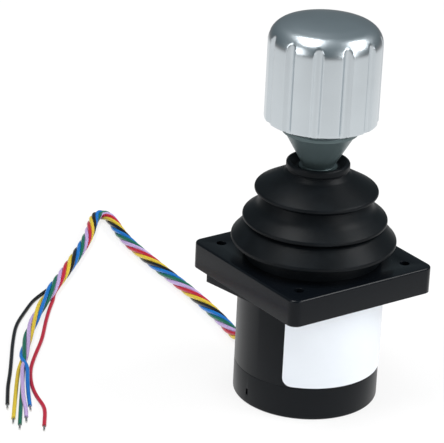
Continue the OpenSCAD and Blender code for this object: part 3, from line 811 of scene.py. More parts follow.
class Lathe:
    """Turns a profile round Z, with flutes cut where they are asked for.

    Attributes:
        hair: Over this little way past a flute's edge its cut ends.
        past: How far out the cut lies beyond the edge.
        weld: Distance within which the grid's points are one.
        least: The fewest flutes that the pitch is worked out for, so that none is no fault.
        far: Where the flutes' axes lie when there are none.
    """

    hair: float = 1e-5
    past: float = 1.0
    weld: float = 2e-7
    least: int = 3
    far: float = 10.0
    _tree: Tree | None = None

    @classmethod
    def tree(cls) -> Tree:
        """The lathe's node tree: a grid wound round the profile's points.

        Returns:
            The tree, made on first use.
        """
        if cls._tree:
            return cls._tree
        tree = Tree(
            "turned profile",
            {
                "Rows": ("NodeSocketInt", 2),
                "Segments": ("NodeSocketInt", 192),
                "Flutes": ("NodeSocketInt", 0),
                "Flute Radius": ("NodeSocketFloat", 1.0),
                "Flute Axis": ("NodeSocketFloat", cls.far),
                "Phase": ("NodeSocketFloat", 0.0),
                "Softness": ("NodeSocketFloat", 0.0001),
                "Material": ("NodeSocketMaterial", None),
            },
        )
        kit = tree.kit
        rows, segments = tree.given("Rows"), tree.given("Segments")
        across = segments + 1
        grid = kit.node("GeometryNodeMeshGrid", None, {"Vertices X": rows, "Vertices Y": across})
        index = kit.node("GeometryNodeInputIndex")
        row, column = (index / across).floor(), index % across
        spot = kit.node(
            "GeometryNodeSampleIndex",
            {"data_type": "FLOAT_VECTOR", "domain": "POINT"},
            {
                "Geometry": tree.given("Geometry"),
                "Value": kit.node("GeometryNodeInputPosition"),
                "Index": row,
            },
        )
        radius, _, height = kit.split(spot)
        angle = column / segments * TURN
        pitch = TURN / tree.given("Flutes").at_least(cls.least)
        off = (angle - tree.given("Phase") + pitch / 2) % pitch - pitch / 2
        axis, bore = tree.given("Flute Axis"), tree.given("Flute Radius")
        aside = axis * off.sine()
        near = axis * off.cosine() - (bore * bore - aside * aside).at_least(0).root()
        beyond = (aside.size() - bore).ease(0, cls.hair) * cls.past
        cut = radius.soft_min(near + beyond, tree.given("Softness"))
        placed = kit.node(
            "GeometryNodeSetPosition",
            None,
            {"Geometry": grid, "Position": kit.join(cut * angle.cosine(), cut * angle.sine(), height)},
        )
        welded = kit.node(
            "GeometryNodeMergeByDistance", None, {"Geometry": placed, "Distance": cls.weld}
        )
        cls._tree = tree.close(welded)
        return cls._tree

    @classmethod
    def turn(
        cls, name: str, profile: Sequence[Point2], finish: Finish, segments: int,
        angle: float = 32.0, **sizes: Any,
    ) -> bpy.types.Object:
        """Makes a turned piece.

        Args:
            name: The piece's name.
            profile: Radius and height of each point of the closed outline, in metres.
            finish: The piece's finish.
            segments: Steps round the axis.
            angle: Edges sharper than this stay crisp.
            sizes: Flute values for the node tree.

        Returns:
            The piece.
        """
        line = [(r, 0.0, z) for r, z in profile]
        line.append(line[0])
        piece = cls.tree().make(
            name, Shop.line(f"{name}_profile", line), finish,
            Rows=len(line), Segments=segments, **{"Flutes": 0, "Flute_Axis": cls.far, **sizes},
        )
        Shop.sharpen(piece.data, angle)
        return piece


def route(points: Sequence[Sequence[float]], step: float) -> np.ndarray:
    """A smooth curve through points, resampled evenly.

    Args:
        points: The points that it passes through.
        step: Distance between the samples.

    Returns:
        The samples, one row each.
    """
    p = np.array(points, float)
    padded = np.vstack([2 * p[0] - p[1], p, 2 * p[-1] - p[-2]])
    fine: list[np.ndarray] = []
    for i in range(1, len(padded) - 2):
        a, b, c, d = padded[i - 1 : i + 3]
        for t in np.linspace(0, 1, SPLINE_STEPS, endpoint=False):
            fine.append(
                b + (c - a) * t / 2 + (2 * a - 5 * b + 4 * c - d) * t * t / 2
                + (3 * b - a - 3 * c + d) * t**3 / 2
            )
    return evenly(np.array(fine + [padded[-2]]), step)


def evenly(line: np.ndarray, step: float) -> np.ndarray:
    """The same line with its points spaced evenly.

    Args:
        line: The line's points.
        step: Distance between the new points.

    Returns:
        The new points, one row each.
    """
    run = np.concatenate([[0], np.cumsum(np.linalg.norm(np.diff(line, axis=0), axis=1))])
    marks = np.linspace(0, run[-1], max(2, round(run[-1] / step) + 1))
    return np.stack([np.interp(marks, run, line[:, k]) for k in range(3)], axis=1)


def ease_bends(line: np.ndarray, passes: int) -> None:
    """Evens out a line's bends in place, and leaves its ends where they are.

    Args:
        line: The points, a step apart.
        passes: How often each point moves towards its neighbours.
    """
    for _ in range(passes):
        line[1:-1] = (line[:-2] + 2 * line[1:-1] + line[2:]) / 4


def span(line: np.ndarray) -> float:
    """Length of a line of points."""
    return float(np.linalg.norm(np.diff(line, axis=0), axis=1).sum())


# ---------------------------------------------------------------- the shot


@dataclass
class Shot:
    """Camera, lamps, floor and world.

    Attributes:
        azimuth: Camera's turn from the front, towards +X, in degrees.
        elevation: Its height above the horizon, in degrees.
        distance: From the camera to the aim.
        aim: Where it looks.
        lean: How far the camera is rolled, in degrees.
        lens: Focal length in millimetres on the 36 mm sensor.
        ambient: Strength of the light from all round.
        ceiling: How bright the ceiling is in reflections, against the white table.
        ceiling_color: Colour of the ceiling in reflections.
        ceiling_rise: Its share of that at the horizon, and how much more it has overhead.
        table: Distances from the part between which the table's white fades in reflections.
        table_half: Half of the table's width.
        table_glow: How much of what the camera sees of the table is plain white.
        middle: Height of the part's middle, which the lamps face.
    """

    azimuth: float = 53.83
    elevation: float = 23.19
    distance: float = 0.93
    aim: tuple[float, float, float] = (-0.0147, -0.0267, 0.0607)
    lean: float = 2.77
    lens: float = 231.6
    ambient: float = 0.4
    ceiling: float = 0.2
    ceiling_color: Color = (0.74, 0.92, 1.0)
    ceiling_rise: tuple[float, float] = (0.75, 0.5)
    table: tuple[float, float] = (0.25, 0.8)
    table_half: float = 3.0
    table_glow: float = 0.8
    middle: float = 0.08

    def camera(self) -> None:
        """Places the camera."""
        az, el, lean = (math.radians(a) for a in (self.azimuth, self.elevation, self.lean))
        back = Vector((math.sin(az) * math.cos(el), -math.cos(az) * math.cos(el), math.sin(el)))
        level = Vector((math.cos(az), math.sin(az), 0))
        upright = back.cross(level)
        right = level * math.cos(lean) + upright * math.sin(lean)
        up = back.cross(right)
        data = bpy.data.cameras.new("camera")
        data.lens, data.sensor_width = self.lens, 36.0
        data.clip_start, data.clip_end = 0.05, 20.0
        rig = bpy.data.objects.new("camera", data)
        turn = Matrix((right, up, back)).transposed().to_4x4()
        rig.matrix_world = Matrix.Translation(Vector(self.aim) + back * self.distance) @ turn
        bpy.context.scene.collection.objects.link(rig)
        bpy.context.scene.camera = rig

    def lamp(
        self, name: str, place: tuple[float, float, float], yaw: float, size: Point2, power: float
    ) -> None:
        """Adds a soft box that faces the part.

        Args:
            name: Its name.
            place: Metres to the camera's right, towards the camera, and above the part's middle.
            yaw: How far its near end is turned to the camera's right, in degrees.
            size: Its size from left to right, and from front to back or from top to bottom.
            power: Its power in watts.
        """
        az = math.radians(self.azimuth)
        right = Vector((math.cos(az), math.sin(az), 0))
        front = Vector((math.sin(az), -math.cos(az), 0))
        away = right * place[0] + front * place[1] + Vector((0, 0, place[2]))
        data = bpy.data.lights.new(name, "AREA")
        data.shape, data.energy = "RECTANGLE", power
        data.size, data.size_y = size
        lamp = bpy.data.objects.new(name, data)
        back = away.normalized()
        up = back.cross(right).normalized()
        side = up.cross(back)
        facing = Matrix((side, up, back)).transposed().to_4x4()
        turn = facing @ Matrix.Rotation(math.radians(yaw), 4, "Z")
        lamp.matrix_world = Matrix.Translation(away + Vector((0, 0, self.middle))) @ turn
        bpy.context.scene.collection.objects.link(lamp)

    def light(self) -> None:
        """Adds the soft boxes: two overhead and a broad fill on each side of the camera."""
        self.lamp("strip_left", (-0.3, 0.05, 0.88), -16.0, (0.3, 0.7), 6.0)
        self.lamp("strip_right", (0.68, 0.05, 0.66), 35.0, (0.3, 0.7), 6.0)
        self.lamp("fill_left", (-1.1, 0.7, 0.35), 0.0, (0.6, 0.8), 4.0)
        self.lamp("fill_right", (1.0, 0.9, 0.35), 0.0, (0.6, 0.8), 5.0)

    def floor(self) -> None:
        """Adds the pale floor."""
        mesh = bpy.data.meshes.new("floor")
        w = self.table_half
        mesh.from_pydata([(-w, -w, 0), (w, -w, 0), (w, w, 0), (-w, w, 0)], [], [(0, 1, 2, 3)])
        material = bpy.data.materials.new("floor_white")
        material.use_nodes = True
        material.node_tree.nodes.clear()
        kit = ShaderKit(material.node_tree)
        white = kit.blend(kit.noise(0.2, 1.0), (0.93, 0.93, 0.93), (0.95, 0.95, 0.95))
        paint = kit.node("ShaderNodeBsdfPrincipled", None, {"Base Color": white, "Roughness": 0.9})
        seen, mirrored = kit.rays()
        x, y, _ = kit.split(kit.place())
        edge = (x * x + y * y).root().ease(*self.table)
        strength = seen + mirrored * (1 - edge * (1 - self.ceiling))
        glow = kit.node("ShaderNodeEmission", None, {"Color": (1, 1, 1, 1), "Strength": strength})
        share = seen * self.table_glow + mirrored
        surface = kit.node("ShaderNodeMixShader", None, {0: share, 1: paint, 2: glow})
        kit.node("ShaderNodeOutputMaterial", None, {"Surface": surface})
        mesh.materials.append(material)
        floor = bpy.data.objects.new("floor", mesh)
        bpy.context.scene.collection.objects.link(floor)

    def world(self) -> None:
        """A pale world that shows white behind the part."""
        world = bpy.data.worlds.new("studio")
        world.use_nodes = True
        world.node_tree.nodes.clear()
        kit = ShaderKit(world.node_tree)
        seen, mirrored = kit.rays()
        _, _, height = kit.split(kit.node("ShaderNodeTexCoord", output="Generated"))
        level, rise = self.ceiling_rise
        glossy = self.ceiling * (level + rise * height.at_least(0))
        strength = seen + mirrored * glossy + (1 - seen - mirrored).at_least(0) * self.ambient
        color = kit.blend(mirrored, (1.0, 1.0, 1.0), self.ceiling_color)
        sky = kit.node("ShaderNodeBackground", None, {"Color": color, "Strength": strength})
        kit.node("ShaderNodeOutputWorld", None, {"Surface": sky})
        bpy.context.scene.world = world

    def build(self) -> None:
        """Sets the whole shot."""
        self.camera()
        self.light()
        self.floor()
        self.world()
        bpy.context.scene.view_settings.view_transform = "Standard"


# ---------------------------------------------------------------- wires


class Lead(Enum):
    """The six lead wires, by colour."""

    BLACK = "black"
    RED = "red"
    YELLOW = "yellow"
    GREEN = "green"
    LILAC = "lilac"
    BLUE = "blue"


@dataclass
class LeadWires:
    """Six insulated wires, twisted as they leave the cap, that part and end bare.

    Attributes:
        radius: Radius of a wire.
        ring: Radius of the ring on which the six lie in the twist.
        pitch: Length of one turn of the twist, which is left-handed.
        square: Radius on which the last four lie.
        settle: The four take their places over one part in this many of the branch.
        strand: Length of the bare strands.
        overlap: How far they start inside the insulation, as a share of their length.
        core_points: Points of their line.
        sides: Sides of a wire's section.
        step: Distance between a wire's points.
        firm: Steps of the trunk, from the board on, that stay as drawn.
        passes: How often the bends after them are evened out.
        last_passes: How often each wire's whole line is evened out.
        branch_gap: Steps left open before the branch, where the wires pass over to it.
        tail_gap: Steps left open before each tail, and where the branch ends.
        clearance: Least gap between a wire and the floor.
        trunk: The six wires' common line, in millimetres.
        branch: The last four wires' common line, in millimetres.
        tails: Each wire's own line after that, in millimetres.
        hexagon: Each wire's place in the ring of six, in degrees.
        quarter: Its place in the ring of four, in degrees.
    """

    radius: float = 0.69 * MM
    ring: float = 1.4 * MM
    pitch: float = 36 * MM
    square: float = 0.99 * MM
    settle: float = 4.0
    strand: float = 3.5 * MM
    overlap: float = 0.1
    core_points: int = 12
    sides: int = 16
    step: float = 1.0 * MM
    firm: int = 40
    passes: int = 170
    last_passes: int = 10
    branch_gap: int = 2
    tail_gap: int = 3
    clearance: float = 0.05 * MM
    trunk: list[Point3] = field(default_factory=lambda: [
        (-12.6, 0, 7.4), (-14.6, 0, 7.1), (-17, 0, 6.6), (-19.5, 0, 6.4), (-26.5, 0, 6.4),
        (-31, 0.2, 5.4), (-36, 0.5, 3.4), (-42, 1, 2.3), (-60, 5, 2.2), (-79, 7.6, 2.2),
        (-97, 9, 2.2), (-116, 11, 2.2), (-132, 13, 2.2), (-144, 17.5, 2.2), (-154.5, 22.5, 2.2),
        (-158.5, 17.5, 2.2), (-148.5, 11, 2.2), (-140, 5, 2.2), (-132, -3.5, 2.2),
        (-122, -14.5, 2.2), (-111.5, -26, 2.2), (-104, -35, 2.2),
    ])
    branch: list[Point3] = field(default_factory=lambda: [
        (-103.5, -35.6, 2.2), (-97.5, -42, 2.1), (-90, -49.5, 1.9), (-80, -58.6, 1.9),
        (-69.5, -66.8, 1.9), (-60, -73.8, 1.9),
    ])
    tails: dict[Lead, list[Point3]] = field(default_factory=lambda: {
        Lead.BLACK: [(-105, -37, 0.8), (-103, -42.4, 0.8), (-95.7, -51, 0.8), (-87.5, -59.5, 0.8),
                     (-76.5, -67.6, 0.8), (-66.2, -74.4, 0.8), (-57, -80.5, 0.8),
                     (-48.6, -86.4, 0.8), (-38, -93, 0.8)],
        Lead.RED: [(-101.9, -34.5, 0.8), (-95.5, -40.5, 0.8), (-86.4, -48, 0.8), (-74, -57.5, 0.8),
                   (-64.5, -66, 0.8), (-56, -73, 0.8), (-46.4, -78.6, 0.8), (-37.4, -82, 0.8),
                   (-29.5, -84, 0.8), (-19, -90.6, 0.8)],
        Lead.YELLOW: [(-60, -75.2, 0.8), (-50, -82.1, 0.8), (-39.1, -89.4, 0.8),
                      (-28.3, -96.6, 0.8)],
        Lead.GREEN: [(-59.1, -73.9, 0.8), (-48.1, -81.1, 0.8), (-36.2, -88.9, 0.8),
                     (-23.8, -96.9, 0.8)],
        Lead.LILAC: [(-59.4, -74.3, 2.4), (-48.8, -80.7, 2.4), (-37.6, -87.2, 2.2),
                     (-32, -89.6, 1.1), (-27.2, -92.4, 0.8)],
        Lead.BLUE: [(-58.6, -72.6, 2.2), (-48, -79.2, 2.2), (-40.2, -83.6, 1.1),
                    (-33.4, -87.2, 0.8)],
    })
    hexagon: dict[Lead, float] = field(default_factory=lambda: {
        Lead.BLACK: 0, Lead.BLUE: 60, Lead.GREEN: 120,
        Lead.LILAC: 180, Lead.RED: 240, Lead.YELLOW: 300,
    })
    quarter: dict[Lead, float] = field(default_factory=lambda: {
        Lead.BLUE: 45, Lead.GREEN: 135, Lead.LILAC: 225, Lead.YELLOW: 315,
    })

    @staticmethod
    def around(line: np.ndarray, phase: np.ndarray, radius: np.ndarray) -> np.ndarray:
        """Points beside a line, turned round it.

        Args:
            line: The line's points.
            phase: The angle at each point, in radians, from the right-hand side upwards.
            radius: The distance at each point.

        Returns:
            The points.
        """
        way = np.gradient(line, axis=0)
        way /= np.linalg.norm(way, axis=1)[:, None]
        side = np.cross(way, (0, 0, 1))
        side /= np.linalg.norm(side, axis=1)[:, None]
        up = np.cross(side, way)
        return line + radius[:, None] * (np.cos(phase)[:, None] * side + np.sin(phase)[:, None] * up)

    def path(self, lead: Lead) -> np.ndarray:
        """One wire's whole centreline.

        Args:
            lead: Which wire.

        Returns:
            Its points, from the board's connector to the end of the insulation.
        """
        trunk = route(np.array(self.trunk) * MM, self.step)
        ease_bends(trunk[self.firm:], self.passes)
        run = np.linspace(-span(trunk), 0, len(trunk))
        turn = math.radians(self.hexagon[lead]) + TURN * run / self.pitch
        parts = [self.around(trunk, turn, np.full(len(trunk), self.ring))]
        if lead in self.quarter:
            branch = route(np.array(self.branch) * MM, self.step)
            share = np.linspace(0, 1, len(branch))
            early = np.clip(share * self.settle, 0, 1)
            first, last = math.radians(self.hexagon[lead]), math.radians(self.quarter[lead])
            turn = first + (last - first) * early + TURN * share
            radius = self.ring + (self.square - self.ring) * early
            parts.append(self.around(branch, turn, radius)[self.branch_gap:-self.tail_gap])
        parts.append(route(np.array(self.tails[lead]) * MM, self.step)[self.tail_gap:])
        line = evenly(np.vstack(parts), self.step)
        ease_bends(line, self.last_passes)
        line[:, 2] = np.maximum(line[:, 2], self.radius + self.clearance)
        return evenly(line, self.step)

    @staticmethod
    def round_out(kit: NodeKit, line: Value, sides: Any, radius: Any) -> Value:
        """Gives curves a round section, closed at both ends.

        Args:
            kit: The tree's nodes.
            line: The curves.
            sides: Sides of the section.
            radius: Its radius.

        Returns:
            The tubes.
        """
        section = kit.node(
            "GeometryNodeCurvePrimitiveCircle",
            {"mode": "RADIUS"},
            {"Resolution": sides, "Radius": radius},
        )
        return kit.node(
            "GeometryNodeCurveToMesh",
            None,
            {"Curve": line, "Profile Curve": section, "Fill Caps": True},
        )

    def tube_tree(self) -> Tree:
        """The node tree that gives a line a round section.

        Returns:
            The tree.
        """
        tree = Tree(
            "round wire",
            {
                "Radius": ("NodeSocketFloat", self.radius),
                "Sides": ("NodeSocketInt", self.sides),
                "Material": ("NodeSocketMaterial", None),
            },
        )
        kit = tree.kit
        line = kit.node("GeometryNodeMeshToCurve", None, {"Mesh": tree.given("Geometry")})
        return tree.close(self.round_out(kit, line, tree.given("Sides"), tree.given("Radius")))

    def strand_tree(self) -> Tree:
        """The node tree that makes seven twisted strands along a line.

        Returns:
            The tree.
        """
        tree = Tree(
            "bare strands",
            {
                "Strands": ("NodeSocketInt", 7),
                "Strand Radius": ("NodeSocketFloat", 0.13 * MM),
                "Turns": ("NodeSocketFloat", 0.45),
                "Material": ("NodeSocketMaterial", None),
            },
        )
        kit = tree.kit
        line = kit.node("GeometryNodeMeshToCurve", None, {"Mesh": tree.given("Geometry")})
        copies = kit.node(
            "GeometryNodeDuplicateElements", {"domain": "SPLINE"},
            {"Geometry": line, "Amount": tree.given("Strands")},
        ).socket.node
        number = Value(kit, copies.outputs["Duplicate Index"])
        along = kit.node("GeometryNodeSplineParameter", output="Factor")
        angle = number / 6 * TURN + along * tree.given("Turns") * TURN
        # Strands 0 to 5 lie in a ring, and strand 6 in their middle.
        reach = tree.given("Strand Radius") * 2 * (1 - number.ease(5.4, 5.6))
        normal = kit.node("GeometryNodeInputNormal")
        tangent = kit.node("GeometryNodeInputTangent")
        across = kit.vector("CROSS_PRODUCT", {0: normal, 1: tangent})
        first = kit.vector("SCALE", {0: normal, "Scale": reach * angle.cosine()})
        second = kit.vector("SCALE", {0: across, "Scale": reach * angle.sine()})
        offset = kit.vector("ADD", {0: first, 1: second})
        spread = kit.node(
            "GeometryNodeSetPosition", None,
            {"Geometry": Value(kit, copies.outputs["Geometry"]), "Offset": offset},
        )
        return tree.close(self.round_out(kit, spread, 8, tree.given("Strand Radius")))

    def build(self) -> None:
        """Makes the six wires and their bare ends, and attaches each to the housing."""
        tube, strands = self.tube_tree(), self.strand_tree()
        for lead in Lead:
            line = self.path(lead)
            wire = tube.make(
                f"lead_{lead.value}", Shop.line(f"{lead.value}_line", line),
                FINISHES[f"wire_{lead.value}"], Radius=self.radius, Sides=self.sides,
            )
            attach(wire, "housing")
            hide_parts("wire_bundle", f"wire_{lead.value}")
            if lead in self.quarter:
                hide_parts("wire_quad")
            way = unit(line[-1] - line[-3])
            marks = np.linspace(-self.overlap, 1, self.core_points)
            core = [line[-1] + way * self.strand * t for t in marks]
            tip = strands.make(
                f"strands_{lead.value}", Shop.line(f"{lead.value}_core", core), FINISHES["strand_tin"]
            )
            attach(tip, "housing")
            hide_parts("wire_tips")
            LOG.info("lead %s is %.0f mm long", lead.value, span(line) / MM)


# ---------------------------------------------------------------- boot


@dataclass
class Boot:
    """Three-fold rubber boot in two pieces, a lower and an upper one.

    Attributes:
        wall: Thickness of the rubber.
        neck: Outside radius of the neck in the flange.
        folds: Rim radius and rim height above the flange of each fold, in millimetres.
        chin: How far the upright lip on each fold reaches below its rim.
        lip: How far it reaches above it.
        grooves: Radius of each groove.
        collar: Radius of the collar.
        collar_height: Height of the collar.
        pinch: How much nearer the axis the rims of the inside lie, in walls.
        lip_edge: Rounding of a lip's lower edge outside.
        least_edge: The least that it shrinks to inside.
        brow: Rounding of a lip's upper edge, in lower ones.
        crease: Rounding at the bottom of a groove.
        seam: Height above the flange at which the two pieces meet.
    """

    wall: float = 1.5
    neck: float = 22.5
    folds: tuple[Point2, ...] = ((27.2, 5.9), (23.8, 13.3), (20.3, 23.1))
    chin: float = 0.8
    lip: float = 0.45
    grooves: tuple[float, ...] = (18.8, 15.2, 9.9)
    collar: float = 10.45
    collar_height: float = 2.7
    pinch: float = 2.4
    lip_edge: float = 0.6
    least_edge: float = 0.04
    brow: float = 1.5
    crease: float = 0.15
    seam: float = 18.7

    def side(self, top: float, t: float) -> tuple[list[Point2], list[float]]:
        """One side of the wall, from the neck to the last fold.

        Args:
            top: Height of the flange's top, in millimetres.
            t: 0 for the outside, or the wall's thickness for the inside.

        Returns:
            The corners and the radius at each.
        """
        (r0, z0), (r1, z1), (r2, z2) = [(r - self.pinch * t, top + z) for r, z in self.folds]
        g0, g1 = (r - t for r in self.grooves[:2])
        low, high, half = t - self.chin, t / 2 + self.lip, t / 2
        corners = [
            (self.neck - t, z0 - 2 + t), (r0, z0 + low), (r0, z0 + high),
            (g0 + 3.6, z1 - 1.7 - half), (g0, z1 - 1.1 - half), (g0, z1 - 0.7 + half),
            (r1, z1 + low), (r1, z1 + high),
            (g1 + 4.2, z1 + 3.6 - half), (g1 + 2, z2 - 2 - half),
            (g1, z2 - 1.2 - half), (g1, z2 - 0.7 + half),
            (r2, z2 + low), (r2, z2 + high),
        ]
        edge = max(self.least_edge, self.lip_edge - t)
        lip, fold = [edge, self.brow * edge], [self.crease] * 2
        return corners, [0.6, *lip, 3.0, *fold, *lip, 6.0, 1.5, *fold, *lip]

    def build(self) -> None:
        """Makes the lower and the upper piece."""
        low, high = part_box("boot")
        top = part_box("bezel")[1].z / MM
        foot, crest = low.z / MM, high.z / MM
        outer, outer_r = self.side(top, 0.0)
        inner, inner_r = self.side(top, self.wall)
        collar_foot = crest - self.collar_height
        groove = self.grooves[2]
        ring = [(self.neck, foot)] + outer + [
            (11.2, collar_foot - 1.7), (groove, collar_foot - 0.4), (groove, collar_foot),
            (self.collar, collar_foot), (self.collar, crest), (self.collar - 1.1, crest),
            (7.2, crest - 2.0), (6.35, crest - 2.0), (6.35, collar_foot - 1.9),
        ] + inner[::-1] + [(self.neck - self.wall, foot)]
        collar_r = [3.0, self.crease, self.crease, 0.6, 0.9, 0.4, 0.3, 0.0, 0.0]
        radii = [0.0] + outer_r + collar_r + inner_r[::-1] + [0.0]
        profile = rounded(ring, radii, 10)
        cut = top + self.seam
        finish = FINISHES["boot_rubber"]
        for name, keep_low in (("boot_lower", True), ("boot_upper", False)):
            kept = self.clip(profile, cut, keep_low)
            piece = Lathe.turn(name, in_mm(kept), finish, segments=160, angle=50.0)
            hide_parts("boot")
            if keep_low:
                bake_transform(piece)
            else:
                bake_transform(piece)

    @staticmethod
    def clip(profile: Sequence[Point2], height: float, keep_low: bool) -> list[Point2]:
        """The part of a closed profile on one side of a height.

        Args:
            profile: The closed profile.
            height: Where it is cut.
            keep_low: Whether the part below stays.

        Returns:
            The kept part, closed along the cut.
        """
        out: list[Point2] = []
        for (r0, z0), (r1, z1) in zip(profile, list(profile[1:]) + [profile[0]]):
            if (z0 <= height) == keep_low:
                out.append((r0, z0))
            if (z0 - height) * (z1 - height) < 0:
                t = (height - z0) / (z1 - z0)
                out.append((r0 + (r1 - r0) * t, height))
        return out


# ---------------------------------------------------------------- knob and cone


@dataclass
class Knob:
    """Fluted, domed knob with a bevelled underside.

    Attributes:
        radius: Outside radius, in millimetres.
        bevel: Height of the bevel under the knob.
        foot: Radius of the underside's edge.
        shoulder: Rounding of the shoulder.
        crown: Radius of the domed top.
        bore: Radius of the hollow inside.
        ceiling: Height of the hollow.
        arc_steps: Steps of the domed top.
        round_steps: Steps of each rounding.
        flutes: Number of flutes.
        flute_width: Width of a flute.
        flute_depth: Depth of a flute.
        phase: Angle of the first flute, in degrees.
        softness: Rounding along a flute's edges.
        stretch: Longest stretch of the profile where flutes may run.
        fluted_from: Radius outside which they may.
    """

    radius: float = 18.5
    bevel: float = 2.5
    foot: float = 13.4
    shoulder: float = 6.8
    crown: float = 52.0
    bore: float = 12.0
    ceiling: float = 28.3
    flutes: int = 12
    flute_width: float = 3.5
    flute_depth: float = 1.1
    phase: float = 16.0
    softness: float = 0.07
    stretch: float = 0.8
    fluted_from: float = 12.5
    arc_steps: int = 10
    round_steps: int = 14

    def build(self) -> None:
        """Makes the knob's shell."""
        low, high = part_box("knob_shell")
        z0, z1 = low.z / MM, high.z / MM
        r = self.radius
        side_top = z1 - self.crown * (1 - math.cos(math.asin(r / self.crown)))
        edge = math.asin((r - self.shoulder) / self.crown)
        angles = [edge * (1 - k / self.arc_steps) for k in range(self.arc_steps + 1)]
        arc = [(self.crown * math.sin(a), z1 - self.crown * (1 - math.cos(a))) for a in angles]
        corners = [(self.foot, z0), (r, z0 + self.bevel), (r, side_top)] + arc
        corners += [(0.0, z0 + self.ceiling), (self.bore, z0 + self.ceiling), (self.bore, z0)]
        radii = [0.3, 0.5, self.shoulder - 0.5] + [0.0] * len(arc) + [0.0, 0.3, 0.2]
        profile = self.densify(rounded(corners, radii, self.round_steps))
        d, w = self.flute_depth, self.flute_width
        cutter = (w * w / 4 + d * d) / (2 * d)
        piece = Lathe.turn(
            "knob_body", in_mm(profile), FINISHES["knob_alloy"], segments=360, angle=40.0,
            Flutes=self.flutes, Flute_Radius=cutter * MM, Flute_Axis=(r - d + cutter) * MM,
            Phase=math.radians(self.phase), Softness=self.softness * MM,
        )
        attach(piece, "knob")
        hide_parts("knob_shell")

    def densify(self, profile: Sequence[Point2]) -> list[Point2]:
        """Splits the long stretches where flutes may run, so that they end cleanly.

        Args:
            profile: The closed profile.

        Returns:
            The profile with more points.
        """
        out: list[Point2] = []
        for (r0, z0), (r1, z1) in zip(profile, list(profile[1:]) + [profile[0]]):
            fluted = max(r0, r1) > self.fluted_from
            n = max(1, round(math.hypot(r1 - r0, z1 - z0) / self.stretch)) if fluted else 1
            out += [(r0 + (r1 - r0) * k / n, z0 + (z1 - z0) * k / n) for k in range(n)]
        return out


@dataclass
class Cone:
    """Turned cone between the boot and the knob.

    Attributes:
        bore: Radius of the bore for the shaft, in millimetres.
        stem: Radius of the stem that stands in the boot's collar.
        stem_top: How far below the cone's top the stem ends and its side begins.
        foot: Radius of the cone's foot.
        head: Its radius under the rim.
        rim: Radius of the rim.
        rim_height: Height of the rim.
    """

    bore: float = 4.02
    stem: float = 6.3
    stem_top: float = 13.6
    foot: float = 5.0
    head: float = 11.8
    rim: float = 12.7
    rim_height: float = 1.5

    def build(self) -> None:
        """Makes the cone."""
        low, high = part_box("lever_cone")
        z0, z1 = low.z / MM, high.z / MM
        corners = [
            (self.bore, z0), (self.stem, z0), (self.stem, z1 - self.stem_top),
            (self.foot, z1 - self.stem_top), (self.head, z1 - self.rim_height),
            (self.rim, z1 - self.rim_height), (self.rim, z1), (self.bore, z1),
        ]
        profile = rounded(corners, [0, 0.3, 0, 0.3, 0.5, 0.35, 0.35, 0], 6)
        piece = Lathe.turn("cone_body", in_mm(profile), FINISHES["cone_alloy"], segments=160)
        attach(piece, "lever")
        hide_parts("lever_cone")


# ---------------------------------------------------------------- body


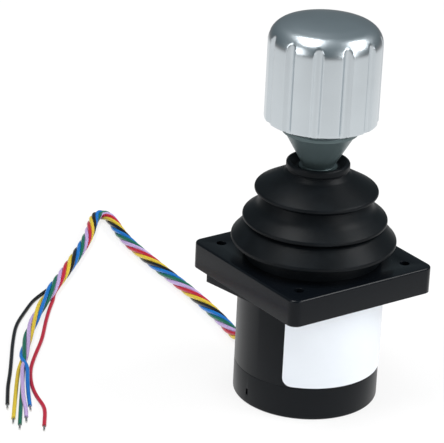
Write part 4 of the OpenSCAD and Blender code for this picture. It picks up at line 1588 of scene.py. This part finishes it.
@dataclass
class Body:
    """Round body, its cap, the square flange and the blank label.

    Attributes:
        edge: Rounding of the moulded edges.
        label_from: Where the label starts, in degrees.
        label_sweep: How far it goes round, in degrees.
        label_corner: Rounding of its corners.
        label_lift: Its thickness.
        wall: Radius at which it starts, just off the body's wall.
        corner_steps: Steps along a corner.
        side_steps: Steps along the straight part.
    """

    edge: float = 0.3 * MM
    label_from: float = -56.0
    label_sweep: float = 128.0
    label_corner: float = 3.0 * MM
    label_lift: float = 0.15 * MM
    wall: float = 24.02 * MM
    corner_steps: int = 12
    side_steps: int = 90

    def build(self) -> None:
        """Makes the body's outer pieces."""
        for name, node, slot in (
            ("flange_body", "bezel", "flange_plastic"),
            ("barrel_body", "housing", "body_plastic"),
            ("cap_body", "base_cap", "body_plastic"),
            ("grommet_body", "cable_grommet", "seal_rubber"),
        ):
            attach(Shop.soften(name, node, FINISHES[slot], self.edge), "housing")
        self.label()

    def label(self) -> None:
        """Makes the blank label: a film with rounded corners that follows the wall."""
        low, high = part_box("label")
        inner, z0, z1 = self.wall, low.z, high.z
        outer = inner + self.label_lift
        width = math.radians(self.label_sweep) * inner
        r = self.label_corner
        steps = np.concatenate([
            r * (1 - np.cos(np.linspace(0, math.pi / 2, self.corner_steps))),
            np.linspace(r, width - r, self.side_steps)[1:-1],
            width - r * (1 - np.cos(np.linspace(math.pi / 2, 0, self.corner_steps))),
        ])
        verts: list[Point3] = []
        for s in steps:
            near = max(0.0, r - min(s, width - s))
            inset = r - math.sqrt(max(0.0, r * r - near * near))
            angle = math.radians(self.label_from) + s / inner
            low_z, high_z = z0 + inset, z1 - inset
            for radius, z in ((inner, low_z), (outer, low_z), (outer, high_z), (inner, high_z)):
                verts.append((radius * math.cos(angle), radius * math.sin(angle), z))
        faces = [(0, 1, 2, 3), tuple(len(verts) - k for k in (1, 2, 3, 4))]
        for i in range(len(steps) - 1):
            a, b = 4 * i, 4 * i + 4
            faces += [(a + k, b + k, b + (k + 1) % 4, a + (k + 1) % 4) for k in range(4)]
        mesh = bpy.data.meshes.new("label_film")
        mesh.from_pydata(verts, [], faces)
        Shop.sharpen(mesh, 40.0)
        piece = Shop.place("label_film", mesh, FINISHES["label_white"])
        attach(piece, "housing")
        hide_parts("label")


# ---------------------------------------------------------------- assembly


def dress_nodes() -> None:
    """Gives every CAD node the finish of its record slot."""
    slots = {part["node"]: part["material_slot"] for part in frame["record"]["subparts"]}
    for name, node in frame["nodes"].items():
        FINISHES[slots[name]].dress(node)
    LOG.info("dressed %d nodes", len(frame["nodes"]))


def main() -> None:
    """Builds the shot and every piece."""
    logging.basicConfig(level=logging.INFO, format="%(name)s: %(message)s")
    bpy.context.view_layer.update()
    Shot().build()
    LeadWires().build()
    dress_nodes()
    for part in (Body(), Boot(), Cone(), Knob()):
        part.build()
        LOG.info("built %s", type(part).__name__)


if __name__ == "__main__":
    main()
